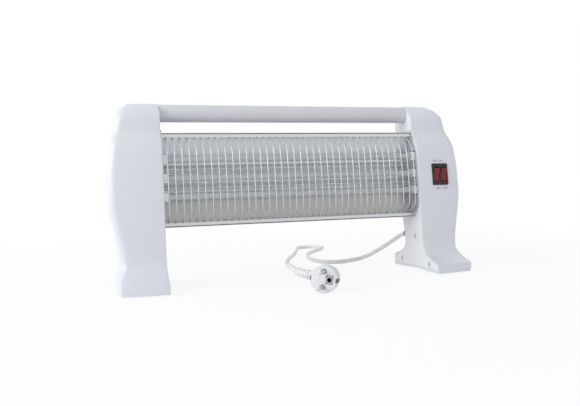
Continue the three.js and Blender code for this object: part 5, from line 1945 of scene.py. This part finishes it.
@dataclass
class RockerSwitch:
    """The twin switch: a bezel, a body behind it and a lit rocker for each of two circuits."""

    half: float = 12.8
    rise: float = 16
    bezel: float = 2.5
    corner: float = 1.6
    rolled: float = 0.9
    step: float = 5.9
    well: float = 4.8
    well_rise: float = 10.7
    well_front: float = 4
    well_corner: float = 0.5
    rocker_half: float = 4.5
    radius: float = 10.4
    front: float = 5.2
    valley: float = 3.2
    valley_share: float = 0.1  # how much of the face's half length the valley's rounding takes
    back: float = 3.4
    pivot: float = 1.3
    axle: float = 1.1
    axle_reach: float = 0.9
    rock: float = 10
    bezel_edge: tuple[float, float] = (0.2, 60)  # width of its rounding, and the least angle of an edge
    box_edge: tuple[float, float] = (0.3, 60)
    rocker_edge: tuple[float, float, int] = (0.45, 30, 3)  # with the faces across its rounding
    letter: float = 2.8
    letter_share: float = 1.39  # the font's size for capitals one high
    spread: float = 1.15
    ink: float = 0.03
    lift: float = 0.02
    words: tuple[tuple[str, float, float], ...] = (
        ("ON", 214.2, 163.1), ("ON", 224, 163.1), ("OFF", 217.4, 121.7), ("OFF", 228.8, 121.7),
    )  # each with X and Z of its middle
    seat: SwitchSeat = field(default_factory=SwitchSeat)

    def ring(self, y: float, shrink: float) -> Array:
        """One section of the bezel: a rectangle with round corners.

        Args:
            y: Where it is.
            shrink: How much smaller than the bezel it is, all round.

        Returns:
            Its points.
        """
        half, rise = self.half - shrink, self.rise - shrink
        corners = [(-half, -rise), (half, -rise), (half, rise), (-half, rise)]
        x, z = eased(corners, self.corner, 6, closed=True).T
        return np.stack([x, 0 * x + y, z], 1)

    def frame(self) -> None:
        """The bezel: its edge rolls over to the face, and the face has an opening for each rocker."""
        rings = [self.ring(-FIT_GAP, 0)] + [
            self.ring(self.rolled * (1 - math.sin(angle)) - self.bezel, self.rolled * (1 - math.cos(angle)))
            for angle in np.linspace(0, np.pi / 2, 6)]
        made = Piece("bezel", self.seat.in_place(grid(np.array(rings), wrap_columns=True, lids=True)))
        for x in (-self.step, self.step):
            low = (x - self.well, -self.well_front, -self.well_rise)
            high = (x + self.well, OVERRUN, self.well_rise)
            made.cut(self.seat.in_place(rounded_block(low, high, self.well_corner, "Y")))
        made.softened(*self.bezel_edge).mounted(BLACK, Body.HEATER, ["switch_bezel"])

    def rocker(self, sign: int) -> None:
        """A rocker: a shallow V across its face, round ends and an axle, tipped to its rest.

        Args:
            sign: -1 for the left rocker, 1 for the right one.
        """
        first = math.acos(self.front / self.radius)
        last = math.pi - math.acos(self.back / self.radius)
        angle = np.linspace(first, last, 9)
        end = np.stack([-self.radius * np.cos(angle), self.radius * np.sin(angle)], 1)
        rise = np.linspace(-1, 1, 17)
        slope = np.sqrt(rise**2 + self.valley_share**2) - self.valley_share
        face = np.stack([-self.valley - (self.front - self.valley) * slope / slope[0], rise * end[0, 1]], 1)
        outline = np.vstack([face[:-1], end, (end * (1, -1))[::-1][:-1]])
        body = extruded(outline, "X", -self.rocker_half, self.rocker_half)
        stub = self.rocker_half + self.axle_reach
        turn, place = about("X", self.rock), (sign * self.step, self.pivot, 0)
        cap, axle = (
            self.seat.in_place(skin.placed(turn, place)) for skin in (body, rod(-stub, stub, self.axle)))
        word, moves = ("left", Body.LEFT_ROCKER) if sign < 0 else ("right", Body.RIGHT_ROCKER)
        made = Piece(f"{word}_rocker_cap", cap).softened(*self.rocker_edge).joined_with(axle)
        made.mounted(RED, moves, [f"rocker_{word}"])

    def word(self, text: str, place: Span, number: int) -> None:
        """A generic word printed on the housing beside the switch.

        Args:
            text: The word.
            place: X and Z of its middle.
            number: What sets its name apart.
        """
        curve = bpy.data.curves.new(text, "FONT")
        curve.body = text
        curve.size = self.letter * self.letter_share * MM
        curve.extrude = self.ink * MM
        curve.align_x, curve.align_y = "CENTER", "CENTER"
        holder = bpy.data.objects.new(text, curve)
        bpy.context.scene.collection.objects.link(holder)
        mesh = bpy.data.meshes.new_from_object(holder.evaluated_get(bpy.context.evaluated_depsgraph_get()))
        bpy.data.objects.remove(holder)
        x, z = place
        share = (x - FORM.half_span) / (float(FORM.outside(z)) - FORM.corner)
        y = float(FORM.front(z)) + FORM.crown * share**2 - self.lift
        fall = math.atan(2 * FORM.crown * share / (FORM.width - FORM.corner))
        upright = Matrix.Rotation(math.radians(90 + self.seat.lean), 4, "X")
        there = Matrix.Translation(np.array((x, y, z)) * MM) @ Matrix.Rotation(fall, 4, "Z")
        mesh.transform(there @ upright @ Matrix.Diagonal((self.spread, 1, 1, 1)))
        Piece(f"print_{text.lower()}_{number}", mesh).mounted(INK, Body.HEATER)

    def build(self) -> None:
        """The whole switch and the words above and below it."""
        self.frame()
        behind = Piece.like("switch_box", "switch_body").softened(*self.box_edge)
        behind.mounted(BLACK, Body.HEATER, ["switch_body"])
        for sign in (-1, 1):
            self.rocker(sign)
        for number, (text, *place) in enumerate(self.words, 1):
            self.word(text, place, number)


class InnerParts:
    """Small parts inside the housings."""

    SOFT = {
        "left_bus_strip": (BRASS, 0.15), "right_link_strip": (BRASS, 0.15),
        "terminal_block": (NYLON, 0.4), "cord_clamp": (NYLON, 0.4),
    }

    def build(self) -> None:
        """Rounds the edges of strips and blocks, and dresses the wiring."""
        for node, (finish, width) in self.SOFT.items():
            rounded(node, finish, width)
        dressed(["upper_tube_lead", "lower_tubes_lead", "supply_lead", "return_lead"], SLEEVING)
        dressed(["held_cord"], CORD)


# Cord and plug

CORD_ROUTE = (
    (0.202, 0.05895, 0.05069), (0.202, 0.06645, 0.0489), (0.2006, 0.079, 0.0447), (0.1958, 0.096, 0.0358),
    (0.188, 0.113, 0.025), (0.18, 0.127, 0.0166), (0.171, 0.138, 0.0094), (0.158, 0.143, 0.0046),
    (0.147, 0.141, 0.0035), (0.137, 0.1345, 0.0035), (0.128, 0.1276, 0.0035), (0.119, 0.123, 0.0035),
    (0.109, 0.1224, 0.0035), (0.099, 0.1256, 0.0035), (0.091, 0.132, 0.0035), (0.086, 0.141, 0.0035),
    (0.083, 0.155, 0.0035), (0.0815, 0.178, 0.0035), (0.083, 0.203, 0.0035), (0.091, 0.233, 0.0035),
    (0.104, 0.266, 0.0035), (0.122, 0.297, 0.0035), (0.144, 0.327, 0.0035), (0.1615, 0.351, 0.0035),
    (0.1695, 0.373, 0.0035), (0.164, 0.3915, 0.0035), (0.1445, 0.401, 0.0035), (0.125, 0.3935, 0.0035),
    (0.1155, 0.374, 0.0035), (0.106, 0.346, 0.0035), (0.093, 0.312, 0.0035), (0.079, 0.277, 0.0035),
    (0.064, 0.243, 0.0036), (0.048, 0.205, 0.0048), (0.031, 0.156, 0.0074), (0.014, 0.102, 0.0116),
    (-0.002, 0.048, 0.0162), (-0.015, 0, 0.0205), (-0.025, -0.038, 0.0236), (-0.0302, -0.064, 0.0255),
    (-0.03109, -0.08194, 0.02487), (-0.02941, -0.08929, 0.02327),
)


@dataclass
class MainsLead:
    """The cord on the floor with its round two-pin plug and ribbed boot."""

    diameter: float = 6.8
    spacing: float = 2.8
    across: float = -12
    forward: float = -138
    turn: float = 35
    tilt: float = 2
    roll: float = 7
    radius: float = 17
    rim: float = 14
    rim_slope: float = 0.8
    grip: float = 15.4
    grip_end: float = 24
    length: float = 33
    nose: float = 8
    nose_rise: float = 1.6
    nose_reach: float = 5.4
    body_rounds: tuple[float, ...] = (0, 1, 0.8, 0.5, 5, 2.4, 1.5, 0)  # at each corner of the body's profile
    neck_depth: float = 23
    neck_end: float = 24
    neck_base: float = 7.6
    neck_tip: float = 6.2
    neck_edge: float = 0.8
    pin: float = 2.4
    pin_length: float = 19
    pin_spacing: float = 19
    pin_dome: float = 1.4
    pin_edge: float = 0.2
    socket_depth: float = 6
    recess: float = 1.1
    recess_depth: float = 2.4
    earth_offset: float = 7.5
    pocket_half: float = 4.7
    pocket_rise: float = 5.6
    pocket_depth: float = 5
    pocket_boss: float = 3.9
    earth_bore: float = 3.3
    slot_half: float = 2.8
    slot_end: float = 13.5
    slot_floor: float = 15.2
    slot_side: float = 19
    strap_edge: float = 0.15
    plug_edge: tuple[float, float] = (0.25, 50)  # width of its rounding, and the least angle of an edge
    boot_base: float = 5.6
    boot_tip: float = 4.4
    boot_rib: float = 0.5
    boot_ribs: int = 5
    boot_reach: float = 10.7
    boot_bend: float = 7.5
    boot_back: float = 6.5
    boot_rise: float = 1.6

    def cord(self) -> tuple[bpy.types.Object, Array]:
        """The cord's tube along its route.

        Returns:
            The piece, and its centreline in metres.
        """
        path = evenly(through(np.array(CORD_ROUTE), 24), self.spacing * MM)
        tube = Piece("cord_jacket", carried(path / MM, self.diameter / 2, 20))
        return tube.mounted(CORD, Body.HEATER, ["mains_cord"]), path

    def in_place(self, skin: Skin) -> Skin:
        """A part of the plug, built along +Y from its face, put where the plug lies on its edges.

        Args:
            skin: The part.

        Returns:
            The part in its place.
        """
        tail_down = math.radians(self.tilt)
        rest = self.radius * math.cos(tail_down) + self.rim * math.sin(tail_down)
        turn = about("Z", -self.turn) @ about("X", -self.tilt) @ about("Y", self.roll)
        return skin.placed(turn, (self.across, self.forward, rest))

    def body(self) -> Skin:
        """A profile turned about Y: a rim, a grip behind it and a domed back.

        Returns:
            The body without its neck.
        """
        profile = [
            (0, 0), (0, self.radius), (self.rim, self.radius), (self.rim + self.rim_slope, self.grip),
            (self.grip_end, self.grip), (self.length - self.nose_rise, self.nose + self.nose_reach),
            (self.length, self.nose), (self.length, 0)]
        return turned(eased(profile, self.body_rounds, 7), "Y", 96)

    def neck(self) -> Skin:
        """A cone turned about X, from inside the body to the boot.

        Returns:
            The neck.
        """
        tip, base = (-self.neck_end, self.neck_tip), (-self.grip / 2, self.neck_base)
        profile = eased([(tip[0], 0), tip, base, (base[0], 0)], [0, self.neck_edge, 0, 0])
        return turned(profile, "X", 48).shifted((0, self.neck_depth, 0))

    def side_slot(self, sign: int) -> Skin:
        """The slot of one earth clip.

        Args:
            sign: Which side of the body it is on, -1 or 1.

        Returns:
            The cutter.
        """
        start, end = sorted((sign * self.slot_floor, sign * self.slot_side))
        return box((start, -OVERRUN, -self.slot_half), (end, self.slot_end, self.slot_half))

    def plug_body(self) -> bpy.types.Object:
        """The moulded body with its neck, the pins' holes, the earth's pocket and the clips' slots.

        Returns:
            The piece.
        """
        x, half, rise = self.earth_offset, self.pocket_half, self.pocket_rise
        pocket = box((x - half, -OVERRUN, -rise), (x + half, self.pocket_depth, rise))
        boss = rod(0, self.pocket_depth + LAP, self.pocket_boss, (x, 0, 0), "Y", 48)
        steps = ((self.socket_depth, FIT_GAP), (self.recess_depth, self.recess))
        holes = [
            rod(-OVERRUN, depth, self.pin + gap, (0, 0, sign * self.pin_spacing / 2), "Y")
            for sign in (-1, 1) for depth, gap in steps]
        bore = rod(-OVERRUN, self.slot_end, self.earth_bore, (x, 0, 0), "Y")
        put = self.in_place
        made = Piece("plug_moulding", put(self.body())).joined_with(put(self.neck()))
        made.cut(put(pocket)).joined_with(put(boss))
        made.cut(*map(put, (*holes, self.side_slot(-1), self.side_slot(1)))).cut(put(bore))
        return made.softened(*self.plug_edge).mounted(PLUG, Body.HEATER, ["plug_body"])

    def boot(self) -> bpy.types.Object:
        """The ribbed boot, carried along a bend with its radius swelling at each rib.

        Returns:
            The piece.
        """
        x, y = -self.neck_end - FIT_GAP, self.neck_depth
        corner = x - self.boot_reach
        bends = np.array([
            (x, y, 0), (corner, y, 0), (corner - self.boot_bend, y + self.boot_back, self.boot_rise)])
        share = np.linspace(0, 1, 90)
        swell = np.clip(0.5 - 0.75 * np.cos(2 * np.pi * self.boot_ribs * share), 0, 1)
        radius = self.boot_base + (self.boot_tip - self.boot_base) * share + self.boot_rib * swell
        path = parabola(*bends, share[:, None])
        made = Piece("boot_moulding", self.in_place(carried(path, radius, 36)))
        return made.mounted(PLUG, Body.HEATER, ["plug_boot"], smooth=50)

    def pins(self) -> list[bpy.types.Object]:
        """Two round pins with domed tips.

        Returns:
            The pieces.
        """
        start, end = -self.pin_length, self.socket_depth - FIT_GAP
        corners = [(start, 0), (start, self.pin), (end, self.pin), (end, 0)]
        profile = eased(corners, [0, self.pin_dome, self.pin_edge, 0])
        made = []
        for word, sign in (("upper", 1), ("lower", -1)):
            pin = turned(profile, "Y", 40).shifted((0, 0, sign * self.pin_spacing / 2))
            piece = Piece(f"{word}_pin", self.in_place(pin))
            made.append(piece.mounted(NICKEL, Body.HEATER, [f"plug_{word}_pin"]))
        return made

    def strap(self) -> bpy.types.Object:
        """The earth strap with its two clips and its socket, near black as painted shade in the earth pocket
        and the clip slots.
        """
        piece = Piece.like("earth_strap", "plug_earth_strap").softened(self.strap_edge)
        return piece.mounted(SHADE_DARK_NICKEL, Body.HEATER, ["plug_earth_strap"])

    def build(self) -> None:
        """The cord and all that goes with it."""
        cord, path = self.cord()
        pieces = [self.plug_body(), self.boot(), *self.pins(), self.strap()]


def main() -> None:
    """Builds the sub-assemblies in order."""
    logging.basicConfig(level=logging.INFO, format="%(message)s", stream=sys.stdout)
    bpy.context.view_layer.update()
    Studio().build()
    LeftEnd().assemble()
    RightEnd().assemble()
    Reflector().build()
    WireGuard().build()
    for number in (1, 2, 3):
        HeatingTube(number).build()
    CarryingHandle().build()
    RockerSwitch().build()
    InnerParts().build()
    MainsLead().build()


if __name__ == "__main__":
    main()
